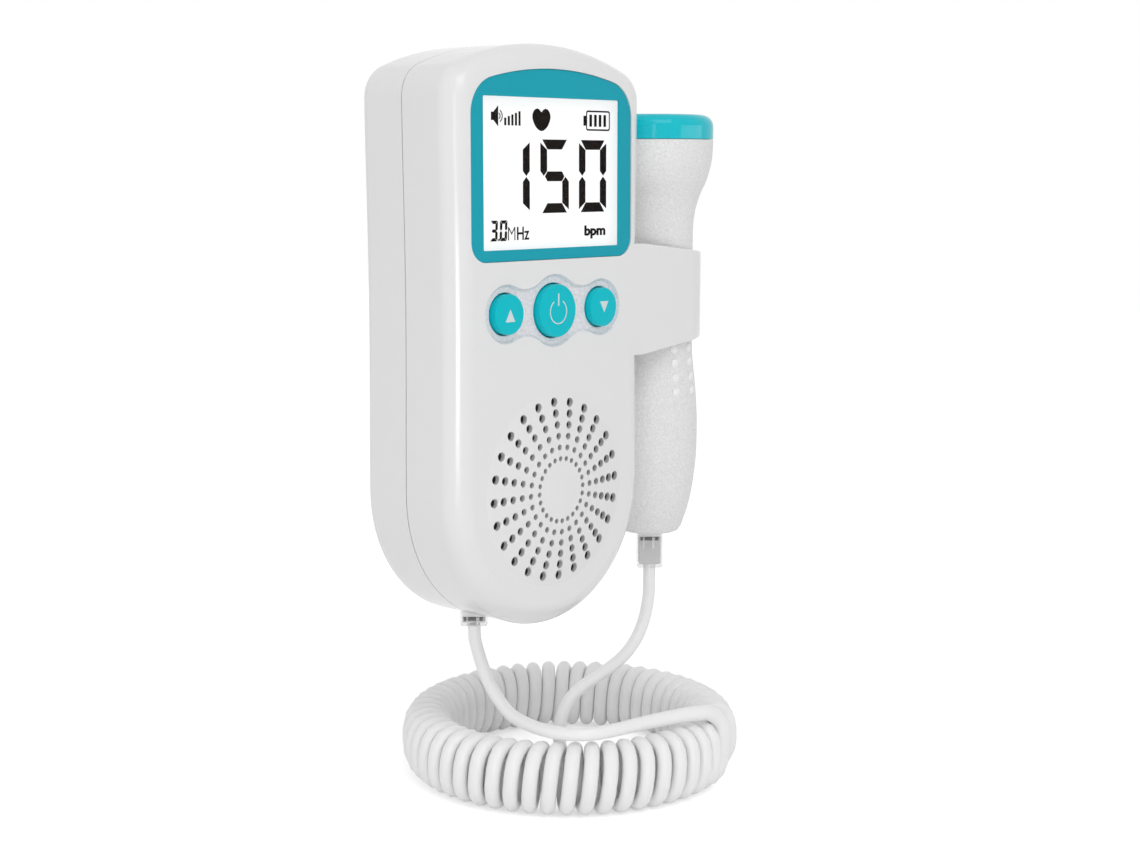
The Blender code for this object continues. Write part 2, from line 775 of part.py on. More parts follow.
def battery_bay_pieces():
    """Cells, springs and contact plates."""
    spacing = cell_radius + fit_gap / 2
    battery_cell("battery_left", -spacing, True)
    battery_cell("battery_right", spacing, False)
    contact_spring("battery_spring_left", -spacing, True)
    contact_spring("battery_spring_right", spacing, False)
    front = bay_inner_front + fit_gap
    back = door_front - 2 * fit_gap
    edge = bay_half_width - fit_gap
    top = bay_high - fit_gap
    low = bay_low + fit_gap
    box("contact_bridge", (-edge, front, top - contact_thickness), (edge, back, top), brass)
    box("contact_left", (-edge, front, low), (-fit_gap / 2, back, low + contact_thickness), brass)
    box("contact_right", (fit_gap / 2, front, low), (edge, back, low + contact_thickness), brass)


def case_screw(number, centre):
    """A pan-head screw let in from the back."""
    seat = seam_depth + 2 * fit_gap + pillar_floor
    profile = [(0, seat + screw_head_height), (screw_head_radius, seat + screw_head_height),
               (screw_head_radius, seat), (screw_radius, seat), (screw_radius, screw_reach),
               (0, screw_reach)]
    turned(f"case_screw_{number + 1}", profile, steel, (centre[0], 0, centre[1]), to_the_back(),
           small_steps)


def socket_bottom():
    """The height at which the unit's socket clears the round foot of the case."""
    inner = case_half_width - wall
    corner = abs(socket_side) + plug_hole_width / 2 + socket_wall
    return case_half_width - math.sqrt(inner ** 2 - corner ** 2) + fit_gap


def foot_height():
    """The height of the foot's outer face over the unit's socket."""
    return case_half_width - math.sqrt(case_half_width ** 2 - socket_side ** 2)


def socket(name, centre, low, deep, material):
    """A socket block, open below, that holds the end of a plug."""
    half_x = plug_hole_width / 2 + socket_wall
    half_y = plug_hole_depth / 2 + socket_wall
    block = box(name, (centre[0] - half_x, centre[1] - half_y, low),
                (centre[0] + half_x, centre[1] + half_y, deep + fit_gap + socket_wall), material)
    combine(block, box(f"{name}_room",
                       (centre[0] - plug_hole_width / 2, centre[1] - plug_hole_depth / 2, low - overrun),
                       (centre[0] + plug_hole_width / 2, centre[1] + plug_hole_depth / 2, deep + fit_gap)))


def plug(name, centre, low):
    """A clear telephone-style plug with its latch on the side away from the case's front."""
    body = box(name, (centre[0] - plug_width / 2, centre[1] - plug_depth / 2, low),
               (centre[0] + plug_width / 2, centre[1] + plug_depth / 2, low + plug_length), clear_plug)
    notch = plug_depth / 2 - latch_thickness
    for hand in (-1, 1):
        edges = sorted((hand * latch_width / 2, hand * (plug_width / 2 + overrun)))
        combine(body, box(f"{name}_notch_{hand}",
                          (centre[0] + edges[0], centre[1] + notch, low - overrun),
                          (centre[0] + edges[1], centre[1] + plug_depth / 2 + overrun,
                           low + latch_length)))
    return body


def unit_connection():
    """The socket at the foot of the case and the cord's plug in it."""
    centre = (socket_side, socket_depth)
    low = foot_height() - unit_plug_shown
    socket("unit_socket", centre, socket_bottom(), low + plug_length, black_plastic)
    plug("unit_plug", centre, low)


def probe_outer():
    """The probe's outer side as radius and height, from the head down to the foot."""
    def blend(shares, low, high, low_radius, high_radius):
        return [(low_radius + (high_radius - low_radius) * r, low + (high - low) * h) for h, r in shares]
    head = blend(flare_shares, neck_top, probe_head_height, probe_neck_radius, probe_head_radius)
    swell = blend(swell_shares, neck_bottom, belly_height, probe_neck_radius, probe_belly_radius)
    foot = blend(foot_shares, belly_height, probe_foot_height, probe_belly_radius, probe_foot_radius)
    profile = [(probe_head_radius, probe_head_height - fit_gap)] + head[::-1]
    profile += [(probe_neck_radius, neck_top), (probe_neck_radius, neck_bottom)] + swell
    profile += [(probe_belly_radius, belly_height)] + foot + [(probe_foot_radius, probe_foot_height)]
    return profile


def probe_body():
    """The hollow handle, open at the head, where a thin spigot carries the cap."""
    outer = probe_outer()
    bore = spigot_radius - spigot_wall
    inner = [(min(r - probe_wall, bore), z) for r, z in outer[1::2]]
    inner = [(r, z) for r, z in inner if z > probe_foot_height + 2 * probe_wall]
    floor = probe_foot_height + probe_wall
    profile = [(spigot_radius, spigot_top), (spigot_radius, probe_head_height - fit_gap)] + outer
    profile += [(0, probe_foot_height), (0, floor), (probe_foot_radius - probe_wall / 2, floor)]
    profile += inner[::-1] + [(bore, probe_head_height - fit_gap), (bore, spigot_top)]
    body = turned("probe_body", profile, grained_grip, (probe_axis_x, probe_axis_y, 0), closed=False)
    close_ring(body)
    combine(body, box("probe_opening",
                      (probe_axis_x - plug_hole_width / 2, probe_axis_y - plug_hole_depth / 2,
                       probe_foot_height - overrun),
                      (probe_axis_x + plug_hole_width / 2, probe_axis_y + plug_hole_depth / 2,
                       floor + overrun)))


def close_ring(piece):
    """Joins the last point of a turned profile to its first."""
    bm = bmesh.new()
    bm.from_mesh(piece.data)
    bm.verts.ensure_lookup_table()
    bm.edges.new((bm.verts[-1], bm.verts[0]))
    bm.to_mesh(piece.data)
    bm.free()


def probe_cap():
    """The smooth cap whose flat top is laid on the skin."""
    bore = probe_head_radius - cap_wall
    low = probe_head_height
    corner = arc((probe_head_radius - cap_corner, probe_top - cap_corner), cap_corner, math.pi / 2, 0, 5)
    profile = [(0, probe_top)] + corner + [(probe_head_radius, low), (bore, low), (bore, cap_ceiling),
                                           (0, cap_ceiling)]
    turned("probe_cap", profile, turquoise, (probe_axis_x, probe_axis_y, 0))


def probe_insides():
    """Crystals, holder, damping block, board and socket inside the probe."""
    centre = (probe_axis_x, probe_axis_y)
    for name, start in (("crystal_left", math.pi / 2), ("crystal_right", -math.pi / 2)):
        shift = fit_gap / 2 if start < 0 else -fit_gap / 2
        half_disc = arc((centre[0] + shift, centre[1]), crystal_radius, start, start + math.pi, 10)
        top_prism(name, half_disc, crystal_high - crystal_thickness, crystal_high, ceramic)
    turned("crystal_holder", [(0, holder_high), (spigot_radius, holder_high),
                              (spigot_radius, holder_high - holder_thickness),
                              (0, holder_high - holder_thickness)], black_plastic, (*centre, 0))
    damping_top = holder_high - holder_thickness - fit_gap
    turned("damping_block", [(0, damping_top), (damping_radius, damping_top),
                             (damping_radius, damping_top - damping_height),
                             (0, damping_top - damping_height)], grey_foam, (*centre, 0))
    half = probe_board_half_width
    box("probe_board", (centre[0] - half, centre[1] - board_thickness / 2, probe_board_low),
        (centre[0] + half, centre[1] + board_thickness / 2, probe_board_low + probe_board_length),
        green_board)
    plug_low = probe_foot_height - probe_plug_shown
    socket("probe_socket", centre, probe_foot_height + probe_wall + fit_gap, plug_low + plug_length,
           black_plastic)
    plug("probe_plug", centre, plug_low)


def tube(name, points, diameter, material, resolution):
    """A round wire or cord along points, with flat ends."""
    curve = bpy.data.curves.new(name, "CURVE")
    curve.dimensions = "3D"
    curve.bevel_depth = diameter / 2
    curve.bevel_resolution = resolution
    curve.use_fill_caps = True
    spline = curve.splines.new("POLY")
    spline.points.add(len(points) - 1)
    for point, position in zip(spline.points, points):
        point.co = (*position, 1)
    place(name, curve, material)


def smooth_route(points, steps):
    """A smooth curve through the route's own points, straight at both ends."""
    knots = [Vector(p) for p in points]
    route = [knots[0]]
    for a, b, c, d in zip(knots, knots[1:], knots[2:], knots[3:]):
        for k in range(steps):
            t = k / steps
            route.append((2 * b + (c - a) * t + (2 * a - 5 * b + 4 * c - d) * t ** 2
                          + (3 * b - 3 * c + d - a) * t ** 3) / 2)
    return route + knots[-2:]


def curl_points_list():
    """The curly ring's centre line, from the outer side at its right round to its inner end."""
    middle = Vector(ring_centre)
    turns = curls + 0.25
    count = round(turns * curl_points)
    line = []
    for k in range(count + 1):
        turn = turns * k / count
        phase = 2 * math.pi * turn
        inward = curl_stagger * (int(turn) % 2) * (1 - math.cos(phase)) / 2
        reach = ring_radius + curl_reach * math.cos(phase) - inward
        along = ring_start - ring_sweep * turn / turns
        line.append(middle + Vector((reach * math.cos(along), reach * math.sin(along),
                                     -curl_rise * math.sin(phase))))
    first = line[0] + Vector((0, 0, cord_diameter))
    inwards = (middle - line[-1]) * Vector((1, 1, 0))
    last = line[-1] + inwards.normalized() * cord_diameter
    return [first] + line + [last]


def least_self_gap(line, diameter):
    """The smallest space between two neighbouring curls, measured between points of the line."""
    fine = []
    for start, end in zip(line, line[1:]):
        fine += [start.lerp(end, k / 3) for k in range(3)]
    near = 3 * curl_points // 2
    far = 3 * curl_points * 3
    least = ring_radius
    for i, point in enumerate(fine):
        for other in fine[i + near:i + far]:
            least = min(least, (point - other).length)
    return least - diameter


def cord():
    """The two leads and the curly ring between them, which share one route."""
    line = curl_points_list()
    print(f"least gap between curls: {1000 * least_self_gap(line, cord_diameter):.2f} mm")
    first = line[0] + Vector((0, 0, fit_gap))
    unit_end = [first + Vector((0, 0, lead_diameter / 2)), first]
    unit_points = list(unit_lead_route) + unit_end
    unit_points[0] = (socket_side, socket_depth, foot_height() - unit_plug_shown - fit_gap)
    away = (line[-1] - line[-2]).normalized()
    probe_start = line[-1] + away * fit_gap
    probe_points = list(probe_lead_route) + [probe_start + away * lead_diameter, probe_start]
    probe_points[0] = (probe_axis_x, probe_axis_y, probe_foot_height - probe_plug_shown - fit_gap)
    tube("unit_lead", smooth_route(unit_points, lead_steps), lead_diameter, white_cord, 2)
    tube("curly_cord", line, cord_diameter, white_cord, 1)
    tube("probe_lead", smooth_route(probe_points, lead_steps), lead_diameter, white_cord, 2)


for old in list(bpy.data.objects):
    bpy.data.objects.remove(old, do_unlink=True)

part_group = new_collection("fetal_doppler")
cutter_group = new_collection("cutters")
frame = bpy.data.objects.new("doppler", None)
frame.location = (0, -case_depth, -mount_height)
part_group.objects.link(frame)

white_case = finish("white_case", (0.80, 0.80, 0.80), 0.30)
grained_grip = finish("grained_grip", (0.76, 0.76, 0.76), 0.60)
turquoise = finish("turquoise", (0.03, 0.52, 0.58), 0.35)
teal_frame = finish("teal_frame", (0.03, 0.36, 0.45), 0.30)
clear_lens = finish("clear_lens", (0.95, 0.95, 0.95), 0.05)
display_glass = finish("display_glass", (0.93, 0.94, 0.94), 0.20)
light_guide = finish("light_guide", (0.90, 0.90, 0.88), 0.50)
black_plastic = finish("black_plastic", (0.02, 0.02, 0.02), 0.45)
green_board = finish("green_board", (0.02, 0.20, 0.08), 0.40)
steel = finish("steel", (0.60, 0.60, 0.62), 0.30, 1.0)
brass = finish("brass", (0.75, 0.58, 0.28), 0.30, 1.0)
paper_cone = finish("paper_cone", (0.05, 0.05, 0.05), 0.80)
cell_wrap = finish("cell_wrap", (0.12, 0.13, 0.14), 0.35)
ceramic = finish("ceramic", (0.70, 0.66, 0.52), 0.40)
grey_foam = finish("grey_foam", (0.25, 0.25, 0.26), 0.90)
clear_plug = finish("clear_plug", (0.82, 0.84, 0.85), 0.10)
white_cord = finish("white_cord", (0.84, 0.84, 0.84), 0.45)

front_shell()
rear_shell()
battery_door()
display()
for button_name, button_side, button_radius in buttons():
    push_button(button_name, button_side, button_radius)
    push_switch(button_name.replace("button", "switch"), button_side)
loudspeaker()
circuit()
battery_bay_pieces()
for screw_number, screw_centre in enumerate(screw_places()):
    case_screw(screw_number, screw_centre)
unit_connection()
probe_body()
probe_cap()
probe_insides()
cord()
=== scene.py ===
"""Dresses the fetal doppler: smooth mouldings, a lit display, clear plugs and a curly cord.

Shapes are worked out in millimetres from the bottom of the case's front face:
x runs towards the probe, y from the front face to the back, and z up.
into_frame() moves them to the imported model's metres.
"""
import math

import bmesh
import bpy
import numpy as np
from mathutils import Matrix, Vector


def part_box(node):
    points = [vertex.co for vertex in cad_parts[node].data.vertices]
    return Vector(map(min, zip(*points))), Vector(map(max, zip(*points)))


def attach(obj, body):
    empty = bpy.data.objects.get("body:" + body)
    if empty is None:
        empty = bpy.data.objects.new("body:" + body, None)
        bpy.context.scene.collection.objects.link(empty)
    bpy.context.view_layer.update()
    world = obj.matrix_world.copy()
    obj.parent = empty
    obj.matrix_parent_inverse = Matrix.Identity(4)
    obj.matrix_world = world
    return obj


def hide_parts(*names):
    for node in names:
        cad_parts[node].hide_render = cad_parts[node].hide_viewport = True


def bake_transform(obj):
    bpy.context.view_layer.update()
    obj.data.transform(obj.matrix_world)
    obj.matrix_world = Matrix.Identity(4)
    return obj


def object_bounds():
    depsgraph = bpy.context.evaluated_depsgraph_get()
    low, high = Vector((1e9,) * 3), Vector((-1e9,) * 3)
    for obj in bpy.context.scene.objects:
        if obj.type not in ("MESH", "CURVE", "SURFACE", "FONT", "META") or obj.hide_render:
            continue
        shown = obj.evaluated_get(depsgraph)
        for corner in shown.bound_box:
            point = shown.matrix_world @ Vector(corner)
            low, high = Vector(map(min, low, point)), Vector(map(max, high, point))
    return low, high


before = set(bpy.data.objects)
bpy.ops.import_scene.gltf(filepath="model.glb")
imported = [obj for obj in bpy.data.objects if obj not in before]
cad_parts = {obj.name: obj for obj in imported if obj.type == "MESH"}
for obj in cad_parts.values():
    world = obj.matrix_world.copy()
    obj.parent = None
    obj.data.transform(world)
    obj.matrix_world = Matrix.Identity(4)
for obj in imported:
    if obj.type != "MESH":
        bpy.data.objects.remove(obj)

cad_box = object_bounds()
scene = bpy.context.scene

# Case, in millimetres
case_half_width = 32.3
case_height = 135.5
foot_drop = 0.6
case_depth = 30.9
seam_depth = 16.4
seam_gap = 0.3
seam_edge = 0.05
wall = 2.1
front_round = 5.4
back_round = 3.0
corner_radius = 8.0
arch_radius = 74.5
waist_depth = 0.5
opening_edge = 0.2

# Display
bezel_half_width = case_half_width - 5.3
bezel_top = case_height - 5.9
bezel_bottom = 86.3
bezel_arch_radius = 90.0
bezel_top_corner = 8.5
bezel_bottom_corner = 4.5
bezel_proud = 0.1
bezel_back = 1.0
bezel_sunk = 0.3
bezel_edge = 0.12
bezel_gap = 0.05
bezel_seat_edge = 0.04
view_half_width = 22.85
view_top = 123.1
view_bottom = bezel_bottom + 2.6
view_corner = 0.35
window_overlap = 1.3

# Print on the display; a rectangle is a half width, low, high, corner and middle
print_thickness = 0.03
print_lift = 0.02
reading_left = -15.6
reading_pitch = 13.2
reading_size = (96.9, 9.65, 16.85, 2.25, 0.11)
small_left = -18.8
small_pitch = 3.05
small_size = (90.85, 2.35, 4.65, 0.74, 0.02, 0.05)
decimal_point = (0.22, 90.9, 91.35, 0, -16.1)
speaker_sign = ((-18.4, 117.85), (-17.6, 117.85), (-16.1, 116.45), (-16.1, 121.15), (-17.6, 119.7),
                (-18.4, 119.7))
wave_centre = (-16.2, 118.8)
wave_reaches = (0.7, 1.4)
wave_half_thickness = 0.18
wave_half_turn = 1.1
bars = 5
bar_half_width = 0.33
bar_left = -13.85
bar_pitch = 1.155
bar_low = 116.75
first_bar_high = 118.45
bar_growth = 0.38
heart_centre = (-2.0, 118.13)
heart_half = ((0, 1.82), (0.65, 2.33), (1.40, 2.58), (2.36, 2.20), (2.98, 1.19), (2.88, 0.05),
              (2.19, -1.22), (1.16, -2.13), (0, -2.5))
battery_tip = (0.45, 117.1, 119.4, 0, 12.8)
battery_box = ((4.22, 115.95, 120.65, 0.6, 17.5), (3.87, 116.33, 120.27, 0.35, 17.5))
cells = 4
cell_size = (0.46, 116.9, 119.7, 0.15)
cell_left = 14.9
cell_pitch = 1.66
display_words = (
    ("display_mega", "M", -0.012, (-13.1, 90.95), (-10.75, 93.95)),
    ("display_hertz", "Hz", 0.016, (-10.2, 90.95), (-6.15, 93.95)),
    ("display_rate", "bpm", 0.045, (12.7, 90.6), (20.2, 93.75)),
)

# Buttons
button_height = 74.4
button_spacing = 16.0
side_button_radius = 4.6
power_button_radius = 6.13
button_proud = 1.0
button_round = 0.3
button_crown = 0.12
flange_reach = 1.1
flange_front = 2.4
flange_back = 3.2
stem_radius = 1.5
bore_edge = 0.15
surround_depth = 0.8
surround_steps = ((1.2, -1), (0.28, -0.001), (0.06, 0.14), (-0.10, 0.42), (-0.26, surround_depth - 0.12),
                  (-0.5, surround_depth))
side_lobe_radius = 6.55
power_lobe_radius = 8.25
valley_radius = 9.0
mark_thickness = 0.06
mark_height_share = 0.75
up_mark = ((-17.55, 72.75), (-14.5, 72.75), (-16.0, 75.6))
down_mark = ((14.45, 75.8), (15.95, 73.2), (17.4, 75.8))
power_mark_centre = (-0.05, 74.2)
power_mark_radii = (2.9, 2.65)
power_mark_turns = (math.radians(122), math.radians(418))
power_mark_bar = (0.2, 75.55, 78.45)

# Loudspeaker grille
grille_height = case_half_width
dome_radius = case_half_width - 9.3
dome_rise = 2.3
spokes = 24
first_spoke = math.radians(92)
hole_ring_radius = dome_radius - 2.25
hole_ring_shares = (1.0, 0.8716, 0.7433, 0.6151, 0.4872, 0.3590)
hole_radius = 1.08
hole_size_shares = (1.0, 0.93, 0.84, 0.74, 0.64, 0.55)
hole_flare = 0.10
# Depth into a grille hole past which its wall gets the darker painted shade
hole_deep_shade_depth = 1.2

# Clip and probe
fit_gap = 0.3
clip_wall = 1.8
clip_edge = 0.55
clip_height = 27.3
clip_tip_height = 21.2
clip_centre = 75.35
clip_corner = 3.3
clip_wrap = math.radians(52)
clip_bend_steps = 39
saddle_height = 18.0
saddle_front = 4.0
saddle_round = 0.4
probe_head_radius = 15.6
probe_neck_radius = 10.6
probe_belly_radius = 12.1
probe_foot_radius = 7.0
probe_foot_height = 13.8
probe_head_height = 114.4
probe_cap_height = 6.1
cap_corner = 3.0
cap_wall = 1.3
cap_edge = 0.06
probe_wall = 1.6
probe_edge = 0.1
head_seam = 0.12
spigot_wall = 1.2
spigot_height = 2.4
foot_bulge = 0.45
foot_round = 0.25
foot_floor_inset = 0.8
bore_low = 3.2
neck_top = 87.5
neck_bottom = 64.2
belly_height = 42.7
flare_shares = ((0.20, 0.02), (0.34, 0.12), (0.48, 0.34), (0.60, 0.63), (0.73, 0.85), (0.85, 0.96))
swell_shares = ((0.28, 0.20), (0.49, 0.53), (0.71, 0.80))
foot_shares = ((0.28, 0.02), (0.47, 0.12), (0.66, 0.28), (0.83, 0.52), (0.96, 0.78))
probe_x = case_half_width + 17.3
probe_y = probe_neck_radius + fit_gap + clip_wall
grip_bump_radius = 1.15
grip_bump_rise = 0.42
grip_bump_sunk = 0.06
grip_bump_angle = math.radians(15.5)
grip_bump_heights = (61.9, 58.3, 54.6, 51.0)

# Screws and battery bay
boss_radius = 2.5
pillar_radius = 3.4
boss_ring_radius = case_half_width - 5.0
boss_angle = math.radians(-35)
top_boss_side = 14.0
top_boss_height = 128.4
pillar_floor = 3.4
screw_hole_depth = 8
screw_radius = 0.95
screw_head_radius = 2.3
bay_half_width = 14.95
bay_front = 14.6
bay_floor = 1.5
bay_side = 1.6
bay_low = 40.3
door_margin = 2.1
door_thickness = 1.2
door_corner = 0.5
door_edge = 0.15
grooves = 3
groove_width = 12.0
groove_height = 1.2
groove_depth = 0.5
groove_edge = 0.2
groove_pitch = 2.6

# Plugs
plug_width = 6.6
plug_depth = 4.8
plug_skin = 0.45
plug_edge = 0.5
core_edge = 0.3
contact_edge = 0.05
contact_front = 0.15
contact_back = 0.6
contact_row = ((-2.2, 0.55), (-0.45, 1.9), (1.75, 0.85))
contact_rises = (-0.7, 0.15)
slot_row = ((-1.65, 0.28), (0.85, 0.5))
slot_rises = (-2.8, -0.75)
slot_floor = 0.5
throat_inset = 0.2
shell_past_boot = 0.3
core_past_row = 0.1
plug_turn = math.radians(-45)
socket_half_width = 2.7
socket_half_depth = 2.2
probe_plug_shown = 8.4
probe_plug_boot = 1.5
probe_row_drop = 1.9
socket_side = -5.0
socket_depth = 22.6
unit_plug_shown = 3.3
unit_plug_boot = 0.4
unit_row_drop = 1.6

# Cord
cord_diameter = 3.65
lead_diameter = 3.2
thin = lead_diameter / cord_diameter
lead_swell = 1.06
swell_shares_of_lead = (0.62, 0.86)
last_rise = 1.9
ring_centre = (21.3, 15.0, -35.0)
ring_radius = 36.0
curl_reach = 4.65
curl_rise = 6.75
curl_fullness = 2.6
curls = 51
curl_points = 18
ring_start = math.radians(-71)
ring_sweep = math.radians(340)
unit_lead_route = (
    (-5.0, 22.6, -3.2), (-4.9, 22.5, -6.8), (-4.2, 21.4, -11.8), (-4.0, 19.2, -16.5),
    (-4.6, 14.8, -20.7), (-5.8, 9.2, -23.3), (-6.8, 2.4, -24.1), (-7.2, -4.2, -24.15),
    (-5.6, -9.9, -24.1), (-1.8, -13.8, -24.05), (4.5, -15.8, -24.0), (11.9, -17.2, -23.9),
    (20.2, -19.5, -23.8), (27.3, -22.0, -23.8), (31.25, -22.9, -24.75), (33.7, -23.3, -27.0),
)
probe_lead_route = (
    (49.6, 12.7, 5.1), (49.6, 12.7, 1.4), (49.2, 12.6, -4.6), (47.0, 12.4, -10.4),
    (43.4, 12.2, -14.9), (37.3, 11.9, -18.5), (27.6, 11.4, -21.1), (21.6, 11.0, -22.4),
    (17.0, 10.7, -24.3), (13.6, 10.4, -27.8), (12.1, 10.1, -32.5), (12.8, 9.8, -36.8),
    (16.0, 9.5, -40.3), (21.0, 9.1, -41.85), (27.0, 7.3, -41.85), (32.2, 3.0, -41.85),
    (36.3, -2.6, -41.85),
)

# Meshes
weld_reach = 0.0005
letter_weld_reach = 0.0002
hole_steps = 18

# Camera, lights and floor; a light is its name, place, target, size in metres and power
lens_length = 58.42
camera_place = (-314.34, -293.32, 107.35)
camera_turn = math.radians(47.44)
camera_tilt = math.radians(8.0)
lights = (
    ("key", (-170, -408, 560), (20, 0, 40), (0.35, 0.35), 0.85),
    ("low front", (-430, -470, -20), (20, 0, -35), (0.20, 0.15), 0.60),
    ("streak", (-500, -520, 80), (0, 0, 60), (0.08, 0.55), 0.35),
    ("left", (-620, 60, 120), (0, 15, 70), (0.50, 0.50), 0.26),
)
cap_card = ("cap card", (348, -504, 75), (50, 13, 75), (0.56, 0.24), 0.9)
sky_level = 0.71
sky_rise = 0.18
floor_half = 1.5
floor_drop = 0.0002
floor_lift = 0.44

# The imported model's place, read from its own boxes
bezel_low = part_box("display_bezel")[0]
shell_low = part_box("rear_shell")[0]
to_metres = (Matrix.Translation((0, bezel_low[1] + bezel_proud / 1000, shell_low[2]))
             @ Matrix.Scale(0.001, 4))


# Shared shapes

def arc(centre, radius, start, end, steps):
    """Points along an arc, both ends included."""
    turns = [start + (end - start) * k / steps for k in range(steps + 1)]
    return [(centre[0] + radius * math.cos(t), centre[1] + radius * math.sin(t)) for t in turns]


def solid(points, faces, thin_edges=False):
    """An edit mesh of points and faces, welded and facing out; thin_edges drops edges of no length."""
    bm = bmesh.new()
    corners = [bm.verts.new(p) for p in points]
    for face in faces:
        bm.faces.new([corners[k] for k in face])
    bmesh.ops.remove_doubles(bm, verts=bm.verts, dist=weld_reach)
    if thin_edges:
        bmesh.ops.dissolve_degenerate(bm, edges=bm.edges, dist=weld_reach)
    bmesh.ops.recalc_face_normals(bm, faces=bm.faces)
    return bm


def pour(whole, piece):
    """Adds an edit mesh to another and frees it."""
    mesh = bpy.data.meshes.new("piece")
    piece.to_mesh(mesh)
    piece.free()
    whole.from_mesh(mesh)
    bpy.data.meshes.remove(mesh)


def as_mesh(thing):
    """The mesh that an object shows once its curve and modifiers are worked out."""
    bpy.context.view_layer.update()
    seen = thing.evaluated_get(bpy.context.evaluated_depsgraph_get())
    return bpy.data.meshes.new_from_object(seen)


def welded(mesh, reach):
    """A draft from a mesh, with its doubled points welded and its faces turned out."""
    bm = bmesh.new()
    bm.from_mesh(mesh)
    bpy.data.meshes.remove(mesh)
    bmesh.ops.remove_doubles(bm, verts=bm.verts, dist=reach)
    bmesh.ops.recalc_face_normals(bm, faces=bm.faces)
    return draft(bm)


def loft(rings):
    """A closed solid through rings of equal length."""
    count = len(rings[0])
    points = [p for ring in rings for p in ring]
    faces = [tuple(range(count)), tuple(range(len(points) - count, len(points)))]
    for level in range(len(rings) - 1):
        for k in range(count):
            a = level * count + k
            b = level * count + (k + 1) % count
            faces.append((a, b, b + count, a + count))
    return solid(points, faces)


def front_loft(sections):
    """A loft of front-view outlines, each given with its depth."""
    return loft([[(x, depth, z) for x, z in outline] for outline, depth in sections])


def lathe(profile, centre, steps, back=False):
    """A solid of revolution from a closed profile of radius and height, about z, or about y for back."""
    count = len(profile)
    points = []
    for k in range(steps):
        turn = 2 * math.pi * k / steps
        for radius, height in profile:
            across = (radius * math.cos(turn), radius * math.sin(turn))
            spot = (across[0], height, across[1]) if back else (across[0], across[1], height)
            points.append(tuple(c + s for c, s in zip(centre, spot)))
    faces = []
    for k in range(steps):
        after = (k + 1) % steps
        for j in range(count):
            nxt = (j + 1) % count
            if profile[j][0] < 1e-6 and profile[nxt][0] < 1e-6:
                continue
            faces.append((k * count + j, k * count + nxt, after * count + nxt, after * count + j))
    return solid(points, faces, thin_edges=True)


def block(low, high, edge=0.0, segments=2):
    """A block between two corners with rounded edges."""
    bm = bmesh.new()
    bmesh.ops.create_cube(bm, size=1)
    size = [b - a for a, b in zip(low, high)]
    middle = [(a + b) / 2 for a, b in zip(low, high)]
    bmesh.ops.scale(bm, vec=size, verts=bm.verts)
    bmesh.ops.translate(bm, vec=middle, verts=bm.verts)
    if edge:
        bmesh.ops.bevel(bm, geom=bm.edges[:], offset=edge, segments=segments, profile=0.5,
                        affect="EDGES")
    return bm


def offset(outline, distance):
    """The outline moved out by a distance, corner by corner; counter-clockwise outlines only."""
    points = np.array(outline, float)
    along = np.roll(points, -1, axis=0) - points
    along /= np.linalg.norm(along, axis=1)[:, None]
    before = np.roll(along, 1, axis=0)
    out = np.stack([along[:, 1], -along[:, 0]], axis=1)
    out_before = np.stack([before[:, 1], -before[:, 0]], axis=1)
    miter = out + out_before
    miter /= np.maximum(0.5 * (miter * miter).sum(axis=1), 0.4)[:, None]
    return [tuple(p) for p in points + distance * miter]


def round_steps(radius, steps):
    """How far a rounded edge is drawn in, and how deep, from its flat face to its side."""
    turns = [math.pi / 2 * k / steps for k in range(steps + 1)]
    return [(radius * (1 - math.sin(t)), radius * (1 - math.cos(t))) for t in turns]


def rounded_sections(outline, edge, steps, low, high):
    """The outline at levels from low to high, drawn in at both ends by a rounded edge."""
    drawn = [(offset(outline, -inwards), rise) for inwards, rise in round_steps(edge, steps)]
    return ([(line, low + rise) for line, rise in drawn]
            + [(line, high - rise) for line, rise in reversed(drawn)])


def draft(bm, name="draft"):
    """An object in millimetres, for the Booleans."""
    mesh = bpy.data.meshes.new(name)
    bm.to_mesh(mesh)
    bm.free()
    thing = bpy.data.objects.new(name, mesh)
    scene.collection.objects.link(thing)
    return thing


def combine(thing, tool, operation="DIFFERENCE"):
    """Cuts a draft out of a draft, or joins it on, at once."""
    tool = tool if isinstance(tool, bpy.types.Object) else draft(tool)
    change = thing.modifiers.new("combine", "BOOLEAN")
    change.operation = operation
    change.solver = "EXACT"
    change.object = tool
    mesh = as_mesh(thing)
    thing.modifiers.clear()
    thing.data = mesh
    bpy.data.objects.remove(tool)


def shaded(thing, sharp_angle=32):
    """Smooth shading whose flats stay flat, written into the mesh."""
    mesh = thing.data
    mesh.shade_smooth()
    mesh.set_sharp_from_angle(angle=math.radians(sharp_angle))
    weigh = thing.modifiers.new("weigh", "WEIGHTED_NORMAL")
    weigh.keep_sharp = True
    weigh.weight = 100
    settled = as_mesh(thing)
    thing.modifiers.clear()
    thing.data = settled
    return settled


def into_frame(thing, name, materials, body, nodes=()):
    """Moves a draft to the model's metres, dresses it and puts it on its body; its paint stays."""
    if not isinstance(thing, bpy.types.Object):
        thing = draft(thing)
    thing.data.transform(to_metres)
    thing.data.update()
    thing.name = name
    thing.data.name = name
    painted = [face.material_index for face in thing.data.polygons]
    thing.data.materials.clear()
    for material in materials:
        thing.data.materials.append(material)
    thing.data.polygons.foreach_set("material_index", painted)
    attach(thing, body)
    if nodes:
        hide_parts(*nodes)
    return thing


# Materials

